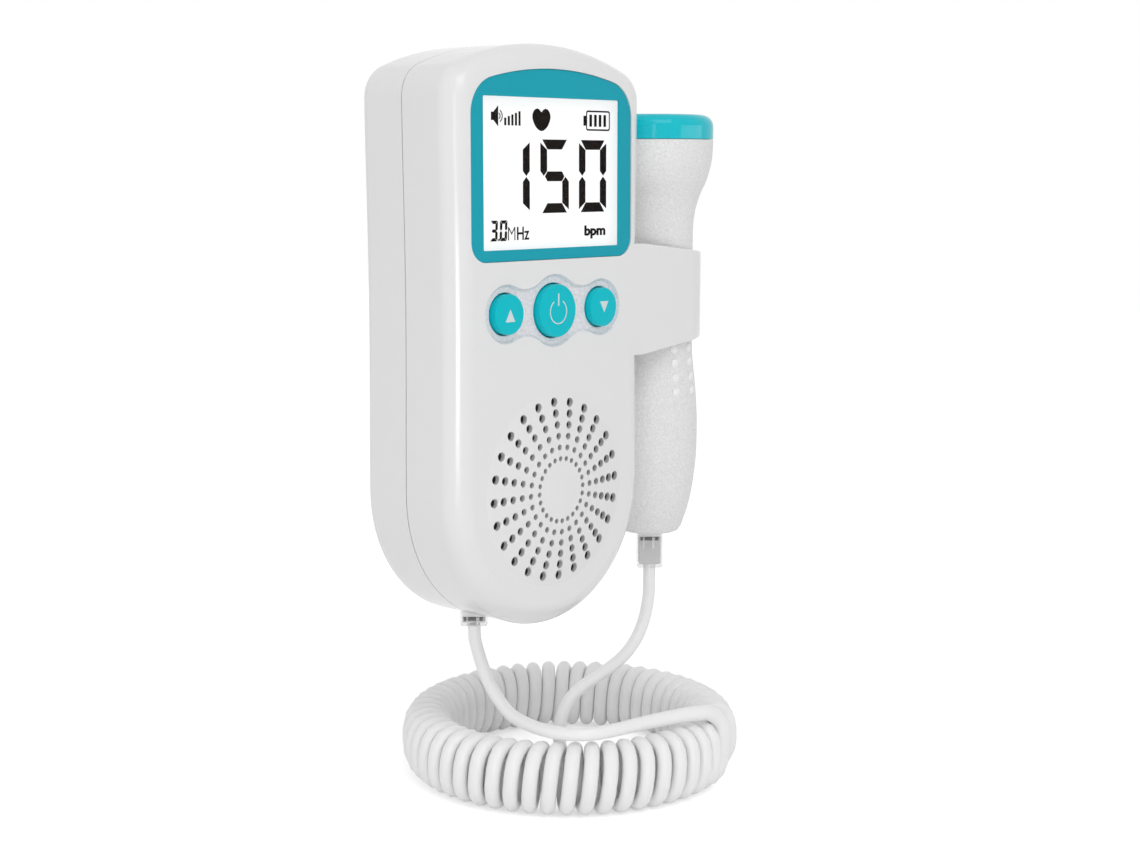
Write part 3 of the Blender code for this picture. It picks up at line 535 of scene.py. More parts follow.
def new_group(name, inputs, outputs):
    """An empty node group with its sockets."""
    group = bpy.data.node_groups.new(name, "ShaderNodeTree")
    for label, kind, value in inputs:
        socket = group.interface.new_socket(label, in_out="INPUT", socket_type=kind)
        socket.default_value = value
    for label, kind in outputs:
        group.interface.new_socket(label, in_out="OUTPUT", socket_type=kind)
    return group, group.nodes.new("NodeGroupInput"), group.nodes.new("NodeGroupOutput")


def surface_group():
    """Mottled colour, uneven gloss and a fine grain, at sizes given per metre."""
    group, given, result = new_group(
        "moulded_surface",
        (("Colour", "NodeSocketColor", (0.8, 0.8, 0.8, 1)), ("Mottle", "NodeSocketFloat", 0.02),
         ("Mottle Scale", "NodeSocketFloat", 90.0), ("Grain Scale", "NodeSocketFloat", 3000.0),
         ("Grain Depth", "NodeSocketFloat", 0.1), ("Speckle", "NodeSocketFloat", 0.0),
         ("Roughness", "NodeSocketFloat", 0.35)),
        (("Colour", "NodeSocketColor"), ("Roughness", "NodeSocketFloat"),
         ("Normal", "NodeSocketVector")))
    nodes, links = group.nodes, group.links
    place = nodes.new("ShaderNodeTexCoord")
    mottle = nodes.new("ShaderNodeTexNoise")
    grain = nodes.new("ShaderNodeTexNoise")
    grain.inputs["Detail"].default_value = 3
    for texture, scale in ((mottle, "Mottle Scale"), (grain, "Grain Scale")):
        links.new(place.outputs["Object"], texture.inputs["Vector"])
        links.new(given.outputs[scale], texture.inputs["Scale"])
    shade = math_node(group, "SUBTRACT", mottle.outputs["Fac"], 0.5)
    shade = math_node(group, "MULTIPLY", shade, given.outputs["Mottle"])
    fleck = math_node(group, "SUBTRACT", grain.outputs["Fac"], 0.5)
    fleck = math_node(group, "MULTIPLY", fleck, given.outputs["Speckle"])
    level = math_node(group, "ADD", math_node(group, "ADD", shade, fleck), 1.0)
    tint = nodes.new("ShaderNodeVectorMath")
    tint.operation = "SCALE"
    links.new(given.outputs["Colour"], tint.inputs[0])
    links.new(level, tint.inputs["Scale"])
    links.new(tint.outputs[0], result.inputs["Colour"])
    gloss = math_node(group, "MULTIPLY", math_node(group, "SUBTRACT", mottle.outputs["Fac"], 0.5), 0.12)
    links.new(math_node(group, "ADD", gloss, given.outputs["Roughness"]), result.inputs["Roughness"])
    bump = nodes.new("ShaderNodeBump")
    bump.inputs["Distance"].default_value = 0.0002
    links.new(given.outputs["Grain Depth"], bump.inputs["Strength"])
    links.new(grain.outputs["Fac"], bump.inputs["Height"])
    links.new(bump.outputs["Normal"], result.inputs["Normal"])
    return group


def set_inputs(node, values):
    """Sets inputs of a node by their names."""
    for label, value in values.items():
        node.inputs[label].default_value = value


def math_node(tree, operation, first, second):
    """A Math node whose inputs are sockets or numbers; gives its output."""
    node = tree.nodes.new("ShaderNodeMath")
    node.operation = operation
    for socket, value in zip(node.inputs, (first, second)):
        if isinstance(value, (int, float)):
            socket.default_value = value
        else:
            tree.links.new(value, socket)
    return node.outputs[0]


def blank(name):
    """A material with its Principled shader."""
    material = bpy.data.materials.new(name)
    material.use_nodes = True
    return material, material.node_tree, material.node_tree.nodes["Principled BSDF"]


def add_surface(tree, shader, values):
    """Puts the shared surface group on a shader, with its own values."""
    surface = tree.nodes.new("ShaderNodeGroup")
    surface.node_tree = moulded_surface
    set_inputs(surface, values)
    tree.links.new(surface.outputs["Colour"], shader.inputs["Base Color"])
    tree.links.new(surface.outputs["Roughness"], shader.inputs["Roughness"])
    tree.links.new(surface.outputs["Normal"], shader.inputs["Normal"])


def moulded(name, colour, roughness, grain_scale=3000, grain_depth=0.1, mottle=0.02, speckle=0.0,
            metallic=0.0, specular=0.5, mottle_scale=90):
    """A solid finish over the shared surface group."""
    material, tree, shader = blank(name)
    add_surface(tree, shader, {"Colour": (*colour, 1), "Mottle": mottle, "Mottle Scale": mottle_scale,
                               "Grain Scale": grain_scale, "Grain Depth": grain_depth, "Speckle": speckle,
                               "Roughness": roughness})
    set_inputs(shader, {"Metallic": metallic, "Specular IOR Level": specular})
    return material


def lit_white(name, colour, strength):
    """The display's white: a plain surface lit from behind."""
    material, tree, shader = blank(name)
    place = tree.nodes.new("ShaderNodeTexCoord")
    haze = tree.nodes.new("ShaderNodeTexNoise")
    haze.inputs["Scale"].default_value = 60
    tree.links.new(place.outputs["Object"], haze.inputs["Vector"])
    level = math_node(tree, "MULTIPLY", math_node(tree, "SUBTRACT", haze.outputs["Fac"], 0.5), 0.03)
    tree.links.new(math_node(tree, "ADD", level, strength), shader.inputs["Emission Strength"])
    set_inputs(shader, {"Base Color": (*colour, 1), "Emission Color": (1, 1, 1, 1), "Roughness": 0.5})
    return material


def clear(name, colour, roughness, body, rim):
    """Clear plastic: see-through, milkier by its body amount and where its side turns away."""
    material, tree, shader = blank(name)
    add_surface(tree, shader, {"Colour": (*colour, 1), "Mottle": 0.10, "Mottle Scale": 400.0,
                               "Grain Depth": 0.02, "Roughness": roughness})
    edge = tree.nodes.new("ShaderNodeLayerWeight")
    edge.inputs["Blend"].default_value = 0.3
    milk = math_node(tree, "MULTIPLY", edge.outputs["Facing"], rim)
    tree.links.new(math_node(tree, "ADD", milk, body), shader.inputs["Alpha"])
    return material


def seen_directly(tree):
    """1 for the rays that look at the white surroundings, straight or through gloss and glass."""
    path = tree.nodes.new("ShaderNodeLightPath")
    looked = math_node(tree, "MAXIMUM", path.outputs["Is Camera Ray"], path.outputs["Is Transmission Ray"])
    return math_node(tree, "MAXIMUM", looked, path.outputs["Is Glossy Ray"])


def white_floor(name, colour, lift):
    """The floor: pale, lifted to white where it is looked at, but for the object's own shadow."""
    material, tree, shader = blank(name)
    set_inputs(shader, {"Base Color": (*colour, 1), "Emission Color": (1, 1, 1, 1), "Roughness": 0.9})
    glow = math_node(tree, "MULTIPLY", seen_directly(tree), lift)
    tree.links.new(glow, shader.inputs["Emission Strength"])
    return material


moulded_surface = surface_group()
case_white = moulded("case_white", (0.80, 0.80, 0.80), 0.15, grain_depth=0.02, mottle=0.008,
                     grain_scale=2200)
surround_grey = moulded("surround_grey", (0.785, 0.77, 0.80), 0.5, grain_depth=0.5, mottle=0.03,
                        grain_scale=1500, speckle=0.6)
# Painted shade for the grille's holes: their white walls are grey near the face and nearly black deeper in
hole_painted_shade = moulded("hole_painted_shade", (0.60, 0.60, 0.60), 0.5, grain_depth=0.1, mottle=0.05)
hole_painted_deep_shade = moulded("hole_painted_deep_shade", (0.06, 0.06, 0.06), 0.6, grain_depth=0.1, mottle=0.05)
probe_white = moulded("probe_white", (0.80, 0.80, 0.80), 0.5, grain_depth=0.6, mottle=0.03,
                      grain_scale=2000, speckle=0.42)
bump_white = moulded("bump_white", (0.90, 0.90, 0.90), 0.3, grain_depth=0.1)
turquoise = moulded("turquoise", (0.002, 0.53, 0.61), 0.20, grain_depth=0.12, mottle=0.03,
                    grain_scale=2600, speckle=0.04, specular=0.12)
cap_turquoise = moulded("cap_turquoise", (0.004, 0.53, 0.62), 0.08, grain_depth=0.0, mottle=0.02,
                        specular=0.22)
bezel_teal = moulded("bezel_teal", (0.008, 0.360, 0.455), 0.30, grain_depth=0.03, mottle=0.08,
                     grain_scale=1800, mottle_scale=25, specular=0.14)
segment_black = moulded("segment_black", (0.010, 0.007, 0.006), 0.6, mottle=1.0, mottle_scale=60,
                        grain_depth=0.0, specular=0.05)
segment_grey = moulded("segment_grey", (0.22, 0.22, 0.22), 0.6, grain_depth=0.0, specular=0.1)
mark_white = moulded("mark_white", (0.66, 0.73, 0.75), 0.5, grain_depth=0.1)
display_white = lit_white("display_white", (0.42, 0.42, 0.42), 0.69)
lens_clear = clear("lens_clear", (0.05, 0.05, 0.05), 0.05, 0.02, 0.0)
plug_clear = clear("plug_clear", (0.80, 0.80, 0.80), 0.06, 0.12, 0.6)
plug_grey = moulded("plug_grey", (0.60, 0.60, 0.61), 0.3, grain_depth=0.05, mottle=0.25, mottle_scale=500)
cord_white = moulded("cord_white", (0.90, 0.90, 0.90), 0.30, grain_depth=0.05, mottle=0.02,
                     grain_scale=1500, mottle_scale=60)
dark_plastic = moulded("dark_plastic", (0.02, 0.02, 0.022), 0.45, grain_depth=0.15)
board_green = moulded("board_green", (0.02, 0.17, 0.07), 0.35, mottle=0.15, mottle_scale=200)
plain_steel = moulded("plain_steel", (0.62, 0.62, 0.64), 0.28, metallic=1.0, grain_depth=0.1)
gold_contact = moulded("gold_contact", (0.78, 0.58, 0.26), 0.25, metallic=1.0, grain_depth=0.05)
paper_black = moulded("paper_black", (0.05, 0.05, 0.05), 0.85, grain_depth=0.6, grain_scale=900)
cell_wrap = moulded("cell_wrap", (0.10, 0.11, 0.12), 0.30, mottle=0.1)
crystal_tan = moulded("crystal_tan", (0.70, 0.65, 0.50), 0.4, mottle=0.1)
damping_grey = moulded("damping_grey", (0.25, 0.25, 0.26), 0.9, grain_depth=0.7, grain_scale=1200)
guide_white = moulded("guide_white", (0.88, 0.88, 0.86), 0.5)
floor_pale = white_floor("floor_pale", (0.90, 0.90, 0.90), floor_lift)


# Case

def case_outline(inset=0.0):
    """Front view of the case: round foot, slightly waisted sides, arched top."""
    half = case_half_width
    points = arc((0, half), half - inset, math.pi, 2 * math.pi, 96)
    points = [(x, z - foot_drop * (half - z) / half) for x, z in points]
    arch_centre = case_height - arch_radius
    corner_side = half - corner_radius
    rise = math.sqrt((arch_radius - corner_radius) ** 2 - corner_side ** 2)
    corner_centre = arch_centre + rise
    lean = math.atan2(rise, corner_side)
    side_steps = 24
    right = []
    for k in range(1, side_steps):
        along = k / side_steps
        drawn_in = 16 * waist_depth * (along * (1 - along)) ** 2 + inset
        right.append((half - drawn_in, half + (corner_centre - half) * along))
    left = [(-x, z) for x, z in reversed(right)]
    corner = arc((corner_side, corner_centre), corner_radius - inset, 0, lean, 20)
    top = arc((0, arch_centre), arch_radius - inset, lean, math.pi - lean, 48)[1:-1]
    other = [(-x, z) for x, z in reversed(corner)]
    return points + right + corner + top + other + left


def half_case(face, inwards, seam, edge_round, inner_steps, outer_steps):
    """A hollow half of the case; inwards is 1 from the front face to the seam, -1 from the back."""
    sections = [(case_outline(wall + drawn), face + inwards * (wall + depth))
                for drawn, depth in round_steps(edge_round - wall, inner_steps)]
    sections += [(case_outline(wall), seam), (case_outline(seam_edge), seam),
                 (case_outline(seam_edge * 0.3), seam - inwards * seam_edge * 0.3),
                 (case_outline(0), seam - inwards * seam_edge)]
    sections += [(case_outline(drawn), face + inwards * depth)
                 for drawn, depth in reversed(round_steps(edge_round, outer_steps))]
    return draft(front_loft(sections))


def bezel_outline(grow=0.0):
    """Front view of the display's frame."""
    half = bezel_half_width
    arch_centre = bezel_top - bezel_arch_radius
    side = half - bezel_top_corner
    rise = math.sqrt((bezel_arch_radius - bezel_top_corner) ** 2 - side ** 2)
    lean = math.atan2(rise, side)
    low_side = half - bezel_bottom_corner
    low_centre = bezel_bottom + bezel_bottom_corner
    right = arc((low_side, low_centre), bezel_bottom_corner + grow, -math.pi / 2, 0, 14)
    right += arc((side, arch_centre + rise), bezel_top_corner + grow, 0, lean, 12)
    top = arc((0, arch_centre), bezel_arch_radius + grow, lean, math.pi - lean, 40)[1:-1]
    left = [(-x, z) for x, z in reversed(right)]
    return right + top + left


def rectangle(half_width, low, high, corner=0.0, middle=0.0):
    """A rectangle with rounded corners, counter-clockwise."""
    if not corner:
        return [(middle - half_width, low), (middle + half_width, low),
                (middle + half_width, high), (middle - half_width, high)]
    points = []
    for side, level, start in ((1, low, -90), (1, high, 0), (-1, high, 90), (-1, low, 180)):
        x = middle + side * (half_width - corner)
        z = level + corner if level == low else level - corner
        points += arc((x, z), corner, math.radians(start), math.radians(start + 90), 6)
    return points


def surround_outline():
    """The wavy recess round the buttons: three round lobes joined by hollow valleys."""
    to_side = side_lobe_radius + valley_radius
    to_power = power_lobe_radius + valley_radius
    valley_x = (to_power ** 2 - to_side ** 2 + button_spacing ** 2) / (2 * button_spacing)
    valley_z = math.sqrt(to_power ** 2 - valley_x ** 2)
    side_turn = math.atan2(valley_z, valley_x - button_spacing)
    power_turn = math.atan2(valley_z, valley_x)
    upper = arc((button_spacing, 0), side_lobe_radius, 0, side_turn, 20)
    upper += arc((valley_x, valley_z), valley_radius, side_turn - math.pi, power_turn - math.pi, 14)[1:]
    upper += arc((0, 0), power_lobe_radius, power_turn, math.pi / 2, 14)[1:]
    left = [(-x, z) for x, z in reversed(upper[:-1])]
    half = upper + left
    lower = [(x, -z) for x, z in reversed(half[1:-1])]
    return [(x, z + button_height) for x, z in half + lower]


def dome_depth(radius):
    """How far the grille's dome lies from the front face, negative where it stands proud."""
    return -dome_rise * (1 - (radius / dome_radius) ** 2)


def screw_places():
    """The four case screws on the front view."""
    side = boss_ring_radius * math.cos(boss_angle)
    low = case_half_width + boss_ring_radius * math.sin(boss_angle)
    return [(-side, low), (side, low), (-top_boss_side, top_boss_height), (top_boss_side, top_boss_height)]


def rod(centre, radius, front, back, steps=24):
    """A round bar from front to back at a place on the front view."""
    profile = [(0, front), (radius, front), (radius, back), (0, back)]
    return lathe(profile, (centre[0], 0, centre[1]), steps, back=True)


def grille_cutters():
    """All the holes of the grille, each flared a little at the dome's face."""
    whole = bmesh.new()
    for ring_share, size_share in zip(hole_ring_shares, hole_size_shares):
        reach = hole_ring_radius * ring_share
        radius = hole_radius * size_share
        face = dome_depth(reach)
        # The ring at the deep shade depth is where the painted shade in each hole turns darker
        profile = [(0, face - 1), (radius + hole_flare + 0.5, face - 0.5),
                   (radius + hole_flare, face - 0.02), (radius, face + hole_flare),
                   (radius, face + hole_deep_shade_depth), (radius, wall + 1), (0, wall + 1)]
        for spoke in range(spokes):
            turn = first_spoke + 2 * math.pi * spoke / spokes
            centre = (reach * math.cos(turn), 0, grille_height + reach * math.sin(turn))
            pour(whole, lathe(profile, centre, hole_steps, back=True))
    return whole


def clip_strip():
    """The clip's tongue, made flat and then wrapped round the probe's neck."""
    start = case_half_width - front_round - 1
    flat = probe_x - start
    bend = probe_y
    length = flat + bend * clip_wrap
    end_x = probe_x + bend * math.sin(clip_wrap)

    def half_height(s):
        x = start + s if s <= flat else probe_x + bend * math.sin((s - flat) / bend)
        share = min(max((x - case_half_width) / (end_x - case_half_width), 0), 1)
        return clip_height / 2 + (clip_tip_height - clip_height) / 2 * share

    steps = 40
    upper = [(length * k / steps, half_height(length * k / steps)) for k in range(steps)]
    upper = [(s, h) for s, h in upper if s < length - clip_corner]
    tip = arc((length - clip_corner, half_height(length) - clip_corner), clip_corner, math.pi / 2, 0, 8)
    upper += tip
    lower = [(s, -h) for s, h in upper]
    outline = lower + upper[::-1]
    bm = front_loft(rounded_sections(outline, clip_edge, 4, 0, clip_wall))
    for k in range(clip_bend_steps):
        cut = flat + (length - flat) * k / clip_bend_steps
        bmesh.ops.bisect_plane(bm, geom=bm.verts[:] + bm.edges[:] + bm.faces[:], plane_co=(cut, 0, 0),
                               plane_no=(1, 0, 0), dist=0.0001)
    for v in bm.verts:
        s, depth, z = v.co
        if s <= flat:
            v.co = (start + s, depth, clip_centre + z)
        else:
            turn = (s - flat) / bend
            v.co = (probe_x + (bend - depth) * math.sin(turn), bend - (bend - depth) * math.cos(turn),
                    clip_centre + z)
    bmesh.ops.recalc_face_normals(bm, faces=bm.faces)
    return bm


def saddle():
    """The rib on the side wall that the probe's neck rests against, open to the back."""
    reach = probe_neck_radius + fit_gap
    front_turn = math.pi + math.asin((probe_y - saddle_front) / reach)
    root = case_half_width - waist_depth - 1
    outline = [(root, saddle_front)]
    outline += arc((probe_x, probe_y), reach, front_turn, math.pi, 14)
    outline += [(probe_x - reach, seam_depth), (root, seam_depth)]
    low = clip_centre - saddle_height / 2
    high = clip_centre + saddle_height / 2
    sections = rounded_sections(outline, saddle_round, 3, low, high)
    return loft([[(x, y, level) for x, y in line] for line, level in sections])


def front_case():
    """The front half of the case, with its display opening, surround, grille and clip."""
    case = half_case(0, 1, seam_depth, front_round, 6, 14)
    for centre in screw_places():
        combine(case, rod(centre, boss_radius, wall / 2, seam_depth), "UNION")
        combine(case, rod(centre, screw_radius + fit_gap, screw_hole_depth, seam_depth + 1))
    dome = [(dome_radius * k / 24, dome_depth(dome_radius * k / 24)) for k in range(25)]
    centre = (0, 0, grille_height)
    combine(case, lathe([(0, wall / 2)] + dome + [(dome_radius, wall / 2)], centre, 96, back=True), "UNION")
    hollow = [(r, y + wall) for r, y in dome]
    combine(case, lathe([(0, wall + 1)] + hollow + [(dome_radius, wall + 1)], centre, 96, back=True))
    combine(case, clip_strip(), "UNION")
    combine(case, saddle(), "UNION")
    outline = bezel_outline(bezel_gap)
    combine(case, front_loft([(offset(outline, 0.6), -1.0), (offset(outline, bezel_seat_edge), -0.001),
                              (outline, bezel_seat_edge), (outline, bezel_back + bezel_gap)]))
    window = rectangle(view_half_width + window_overlap, view_bottom - window_overlap,
                       view_top + window_overlap)
    combine(case, front_loft([(window, 0), (window, wall + 1)]))
    outline = surround_outline()
    combine(case, front_loft([(offset(outline, outwards), depth) for outwards, depth in surround_steps]))
    for _, side, radius in buttons():
        bore = radius + fit_gap
        profile = [(0, -1), (bore + 0.5, -0.5), (bore + bore_edge, surround_depth - 0.01),
                   (bore, surround_depth + bore_edge), (bore, wall + 1), (0, wall + 1)]
        combine(case, lathe(profile, (side, 0, button_height), 64, back=True))
    combine(case, grille_cutters())
    mesh = shaded(case)
    smooth_dome(mesh)
    paint_front(mesh)
    into_frame(case, "front_case", [case_white, surround_grey, hole_painted_shade, hole_painted_deep_shade], "case",
               ["front_shell"])


def smooth_dome(mesh):
    """Gives the dome's faces the normals of the true dome, so that the holes don't dent its shading."""
    normals = [Vector(n.vector) for n in mesh.corner_normals]
    tops = [dome_depth(math.hypot(v.co.x, v.co.z - grille_height)) for v in mesh.vertices]
    for face in mesh.polygons:
        if face.normal.y > -0.9 or face.center.y > -0.0005:
            continue
        corners = [mesh.vertices[k].co for k in face.vertices]
        if any(abs(c.y - tops[k]) > 0.01 for c, k in zip(corners, face.vertices)):
            continue
        for loop in face.loop_indices:
            spot = mesh.vertices[mesh.loops[loop].vertex_index].co
            slope = 2 * dome_rise / dome_radius ** 2
            normals[loop] = Vector((slope * spot.x, -1, slope * (spot.z - grille_height))).normalized()
    mesh.normals_split_custom_set(normals)


def paint_front(mesh):
    """Puts the grained finish on the recess round the buttons and paints shade in the grille's holes,
    darker deep in.
    """
    lowest = button_height - power_lobe_radius - 1
    highest = button_height + power_lobe_radius + 1
    for face in mesh.polygons:
        centre = face.center
        inside = lowest < centre.z < highest and abs(centre.x) < button_spacing + side_lobe_radius + 1
        floor = inside and 0.02 < centre.y < surround_depth + 0.01 and face.normal.y < -0.05
        reach = math.hypot(centre.x, centre.z - grille_height)
        sunk = centre.y - dome_depth(reach)
        # The walls of the grille's holes get painted shade, grey and then darker past the deep shade depth
        bore = reach < hole_ring_radius + 2 and abs(face.normal.y) < 0.3 and sunk > 0.1
        face.material_index = 1 if floor else 3 if bore and sunk > hole_deep_shade_depth else 2 if bore else 0


def rear_case():
    """The back half of the case, with the battery bay, screw pillars and the cord's opening."""
    front = seam_depth + seam_gap
    case = half_case(case_depth, -1, front, back_round, 3, 10)
    outer = bay_half_width + bay_side
    bay_high = bay_top()
    combine(case, block((-outer, bay_front - bay_floor, bay_low - bay_side),
                        (outer, case_depth - wall / 2, bay_high + bay_side)), "UNION")
    combine(case, block((-bay_half_width, bay_front, bay_low), (bay_half_width, case_depth + 1, bay_high)))
    reach = door_margin + fit_gap
    door_front = case_depth - door_thickness
    opening = rectangle(bay_half_width + reach, bay_low - reach, bay_high + reach, 0.6)
    combine(case, front_loft([(opening, door_front - fit_gap), (opening, case_depth - opening_edge),
                              (offset(opening, opening_edge), case_depth),
                              (offset(opening, opening_edge + 1), case_depth + 1)]))
    floor = front + pillar_floor
    for centre in screw_places():
        combine(case, rod(centre, pillar_radius, front, case_depth - wall / 2, 40), "UNION")
        hole = screw_head_radius + fit_gap
        profile = [(0, floor), (hole, floor), (hole, case_depth - opening_edge),
                   (hole + opening_edge, case_depth), (hole + 0.6, case_depth + 1), (0, case_depth + 1)]
        combine(case, lathe(profile, (centre[0], 0, centre[1]), 40, back=True))
        combine(case, rod(centre, screw_radius + fit_gap, front - 1, floor + 1))
    combine(case, block((socket_side - socket_half_width, socket_depth - socket_half_depth, -1),
                        (socket_side + socket_half_width, socket_depth + socket_half_depth, 3)))
    shaded(case)
    into_frame(case, "rear_case", [case_white], "case", ["rear_shell"])


def bay_top():
    """The battery bay's upper end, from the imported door's own height."""
    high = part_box("battery_door")[1][2]
    return (high - shell_low[2]) * 1000 - door_margin


def battery_door():
    """The flush door over the battery bay, with finger grooves."""
    half = bay_half_width + door_margin
    low = bay_low - door_margin
    high = bay_top() + door_margin
    front = case_depth - door_thickness
    outline = rectangle(half, low, high, door_corner)
    sections = [(outline, front), (outline, case_depth - door_edge),
                (offset(outline, -door_edge), case_depth)]
    door = draft(front_loft(sections))
    for number in range(grooves):
        height = bay_top() - groove_pitch * (number + 1)
        combine(door, block((-groove_width / 2, case_depth - groove_depth, height),
                            (groove_width / 2, case_depth + 1, height + groove_height), groove_edge))
    shaded(door)
    into_frame(door, "battery_cover", [case_white], "door", ["battery_door"])


# Display

def flat_shape(outlines, depth, thickness, edge=0.0):
    """Filled outlines of the front view as a thin draft whose back lies at a depth."""
    curve = bpy.data.curves.new("shape", "CURVE")
    curve.dimensions = "2D"
    curve.fill_mode = "BOTH"
    curve.extrude = thickness / 2 - edge
    curve.bevel_depth = edge
    curve.bevel_resolution = 2 if edge else 0
    curve.offset = -edge
    for outline in outlines:
        spline = curve.splines.new("POLY")
        spline.points.add(len(outline) - 1)
        for point, corner in zip(spline.points, outline):
            point.co = (corner[0], corner[1], 0, 1)
        spline.use_cyclic_u = True
    thing = bpy.data.objects.new("shape", curve)
    scene.collection.objects.link(thing)
    mesh = as_mesh(thing)
    bpy.data.objects.remove(thing)
    upright = Matrix.Translation((0, depth - thickness / 2, 0)) @ Matrix.Rotation(math.pi / 2, 4, "X")
    mesh.transform(upright)
    return welded(mesh, weld_reach)


def display():
    """The teal frame, and the figures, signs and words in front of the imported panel, which glows."""
    view = rectangle(view_half_width, view_bottom, view_top, view_corner)
    frame_piece = flat_shape([bezel_outline(), view], bezel_back, bezel_back - bezel_sunk, bezel_edge)
    shaded(frame_piece)
    into_frame(frame_piece, "display_frame", [bezel_teal], "case", ["display_bezel"])
    box = [rectangle(*sides) for sides in battery_box]
    for name, outlines, finish in (("display_marks", segments() + icons(), segment_black),
                                   ("display_battery", box, segment_black),
                                   ("display_waves", sound_waves(), segment_grey)):
        printed = flat_shape(outlines, display_face(), print_thickness)
        into_frame(printed, name, [finish], "case")
    for name, letters, bold, low, high in display_words:
        word = lettering(letters, bold, low, high)
        into_frame(word, name, [segment_black], "case")


def display_face():
    """The depth at which the display's print lies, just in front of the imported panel."""
    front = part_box("display_panel")[0][1]
    return (front - bezel_low[1]) * 1000 - bezel_proud - print_lift


def lettering(letters, bold, low, high):
    """Plain letters that fill a box of the display, thickened by a share of their height."""
    curve = bpy.data.curves.new("words", "FONT")
    curve.body = letters
    curve.extrude = print_thickness / 2
    curve.resolution_u = 6
    curve.offset = bold
    thing = bpy.data.objects.new("words", curve)
    scene.collection.objects.link(thing)
    mesh = as_mesh(thing)
    bpy.data.objects.remove(thing)
    xs = [v.co.x for v in mesh.vertices]
    ys = [v.co.y for v in mesh.vertices]
    across = (high[0] - low[0]) / (max(xs) - min(xs))
    up = (high[1] - low[1]) / (max(ys) - min(ys))
    for v in mesh.vertices:
        v.co = (low[0] + (v.co.x - min(xs)) * across, display_face() - print_thickness / 2 - v.co.z,
                low[1] + (v.co.y - min(ys)) * up)
    return welded(mesh, letter_weld_reach)


digit_bars = {"1": "bc", "3": "abcdg", "5": "afgcd", "0": "abcdef"}


def digit(figure, left, low, width, height, thick, gap, slant=0.0):
    """The lit bars of one seven-bar figure, with mitred ends and cut outer corners."""
    right = left + width
    top = low + height
    mid = low + height / 2
    t = thick
    cut = 5 * gap
    end = cut + 1.6 * gap
    tip = 0.62 * t + gap
    shapes = {
        "a": [(left + cut + gap, top), (right - cut - gap, top), (right - t - gap, top - t),
              (left + t + gap, top - t)],
        "d": [(left + t + gap, low + t), (right - t - gap, low + t), (right - cut - gap, low),
              (left + cut + gap, low)],
        "g": [(left + tip, mid), (left + t + gap, mid + t / 2), (right - t - gap, mid + t / 2),
              (right - tip, mid), (right - t - gap, mid - t / 2), (left + t + gap, mid - t / 2)],
        "f": [(left, top - end), (left + t, top - t - gap), (left + t, mid + t / 2 + gap),
              (left + t / 2, mid + gap), (left, mid + t / 2 + gap)],
        "e": [(left, low + end), (left, mid - t / 2 - gap), (left + t / 2, mid - gap),
              (left + t, mid - t / 2 - gap), (left + t, low + t + gap)],
    }
    for bar, mirrored in (("b", "f"), ("c", "e")):
        shapes[bar] = [(left + right - x, z) for x, z in shapes[mirrored]]
    return [[(x + slant * (z - mid), z) for x, z in shapes[bar]] for bar in digit_bars[figure]]


def segments():
    """The reading in the middle of the display, and the frequency's figures under it."""
    shapes = []
    for number, figure in enumerate("150"):
        shapes += digit(figure, reading_left + reading_pitch * number, *reading_size)
    for number, figure in enumerate("30"):
        shapes += digit(figure, small_left + small_pitch * number, *small_size)
    return shapes + [rectangle(*decimal_point)]


def icons():
    """Speaker, rising bars, heart and the battery's tip and cells along the top of the display."""
    shapes = [speaker_sign]
    for number in range(bars):
        high = first_bar_high + bar_growth * number
        shapes.append(rectangle(bar_half_width, bar_low, high, 0, bar_left + bar_pitch * number))
    shapes += [heart(), rectangle(*battery_tip)]
    shapes += [rectangle(*cell_size, cell_left + cell_pitch * number) for number in range(cells)]
    return shapes


def heart():
    """The heart sign, with full lobes and a blunt foot."""
    whole = list(heart_half) + [(-x, z) for x, z in heart_half[-2:0:-1]]
    line = smooth_line([whole[-1]] + whole + whole[:2], 5)[1:-2]
    return [(x + heart_centre[0], z + heart_centre[1]) for x, z in line]


def sound_waves():
    """The two faint arcs beside the speaker."""
    shapes = []
    for reach in wave_reaches:
        outer = arc(wave_centre, reach + wave_half_thickness, -wave_half_turn, wave_half_turn, 10)
        inner = arc(wave_centre, reach - wave_half_thickness, wave_half_turn, -wave_half_turn, 10)
        shapes.append(outer + inner)
    return shapes


# Buttons

def buttons():
    """Name, side and radius of each button."""
    return (("up", -button_spacing, side_button_radius), ("power", 0, power_button_radius),
            ("down", button_spacing, side_button_radius))


def push_button(name, side, radius):
    """A crowned cap with a soft edge, on the flange that keeps it in the shell."""
    face = -button_proud
    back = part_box(f"{name}_button")[1][1]
    back = (back - bezel_low[1]) * 1000 - bezel_proud
    crown = [(radius - button_round) * k / 6 for k in range(7)]
    profile = [(r, face - button_crown * (1 - (r / (radius - button_round)) ** 2)) for r in crown]
    profile += [(radius - drawn, face + depth) for drawn, depth in round_steps(button_round, 7)[1:]]
    flange = radius + flange_reach
    profile += [(radius, flange_front), (flange, flange_front), (flange, flange_back),
                (stem_radius, flange_back), (stem_radius, back), (0, back)]
    cap = draft(lathe(profile, (side, 0, button_height), 72, back=True))
    shaded(cap, 40)
    into_frame(cap, f"{name}_cap", [turquoise], f"{name}_key", [f"{name}_button"])


def button_marks():
    """The printed marks: a triangle up, a power sign and a triangle down."""
    face = -button_proud - button_crown * mark_height_share
    (outer, inner), (start, end) = power_mark_radii, power_mark_turns
    ring = arc(power_mark_centre, outer, start, end, 40) + arc(power_mark_centre, inner, end, start, 40)
    for name, outlines in (("up", [up_mark]), ("down", [down_mark]),
                           ("power", [ring, rectangle(*power_mark_bar)])):
        sign = flat_shape(outlines, face, mark_thickness)
        into_frame(sign, f"{name}_sign", [mark_white], f"{name}_key")


# Probe

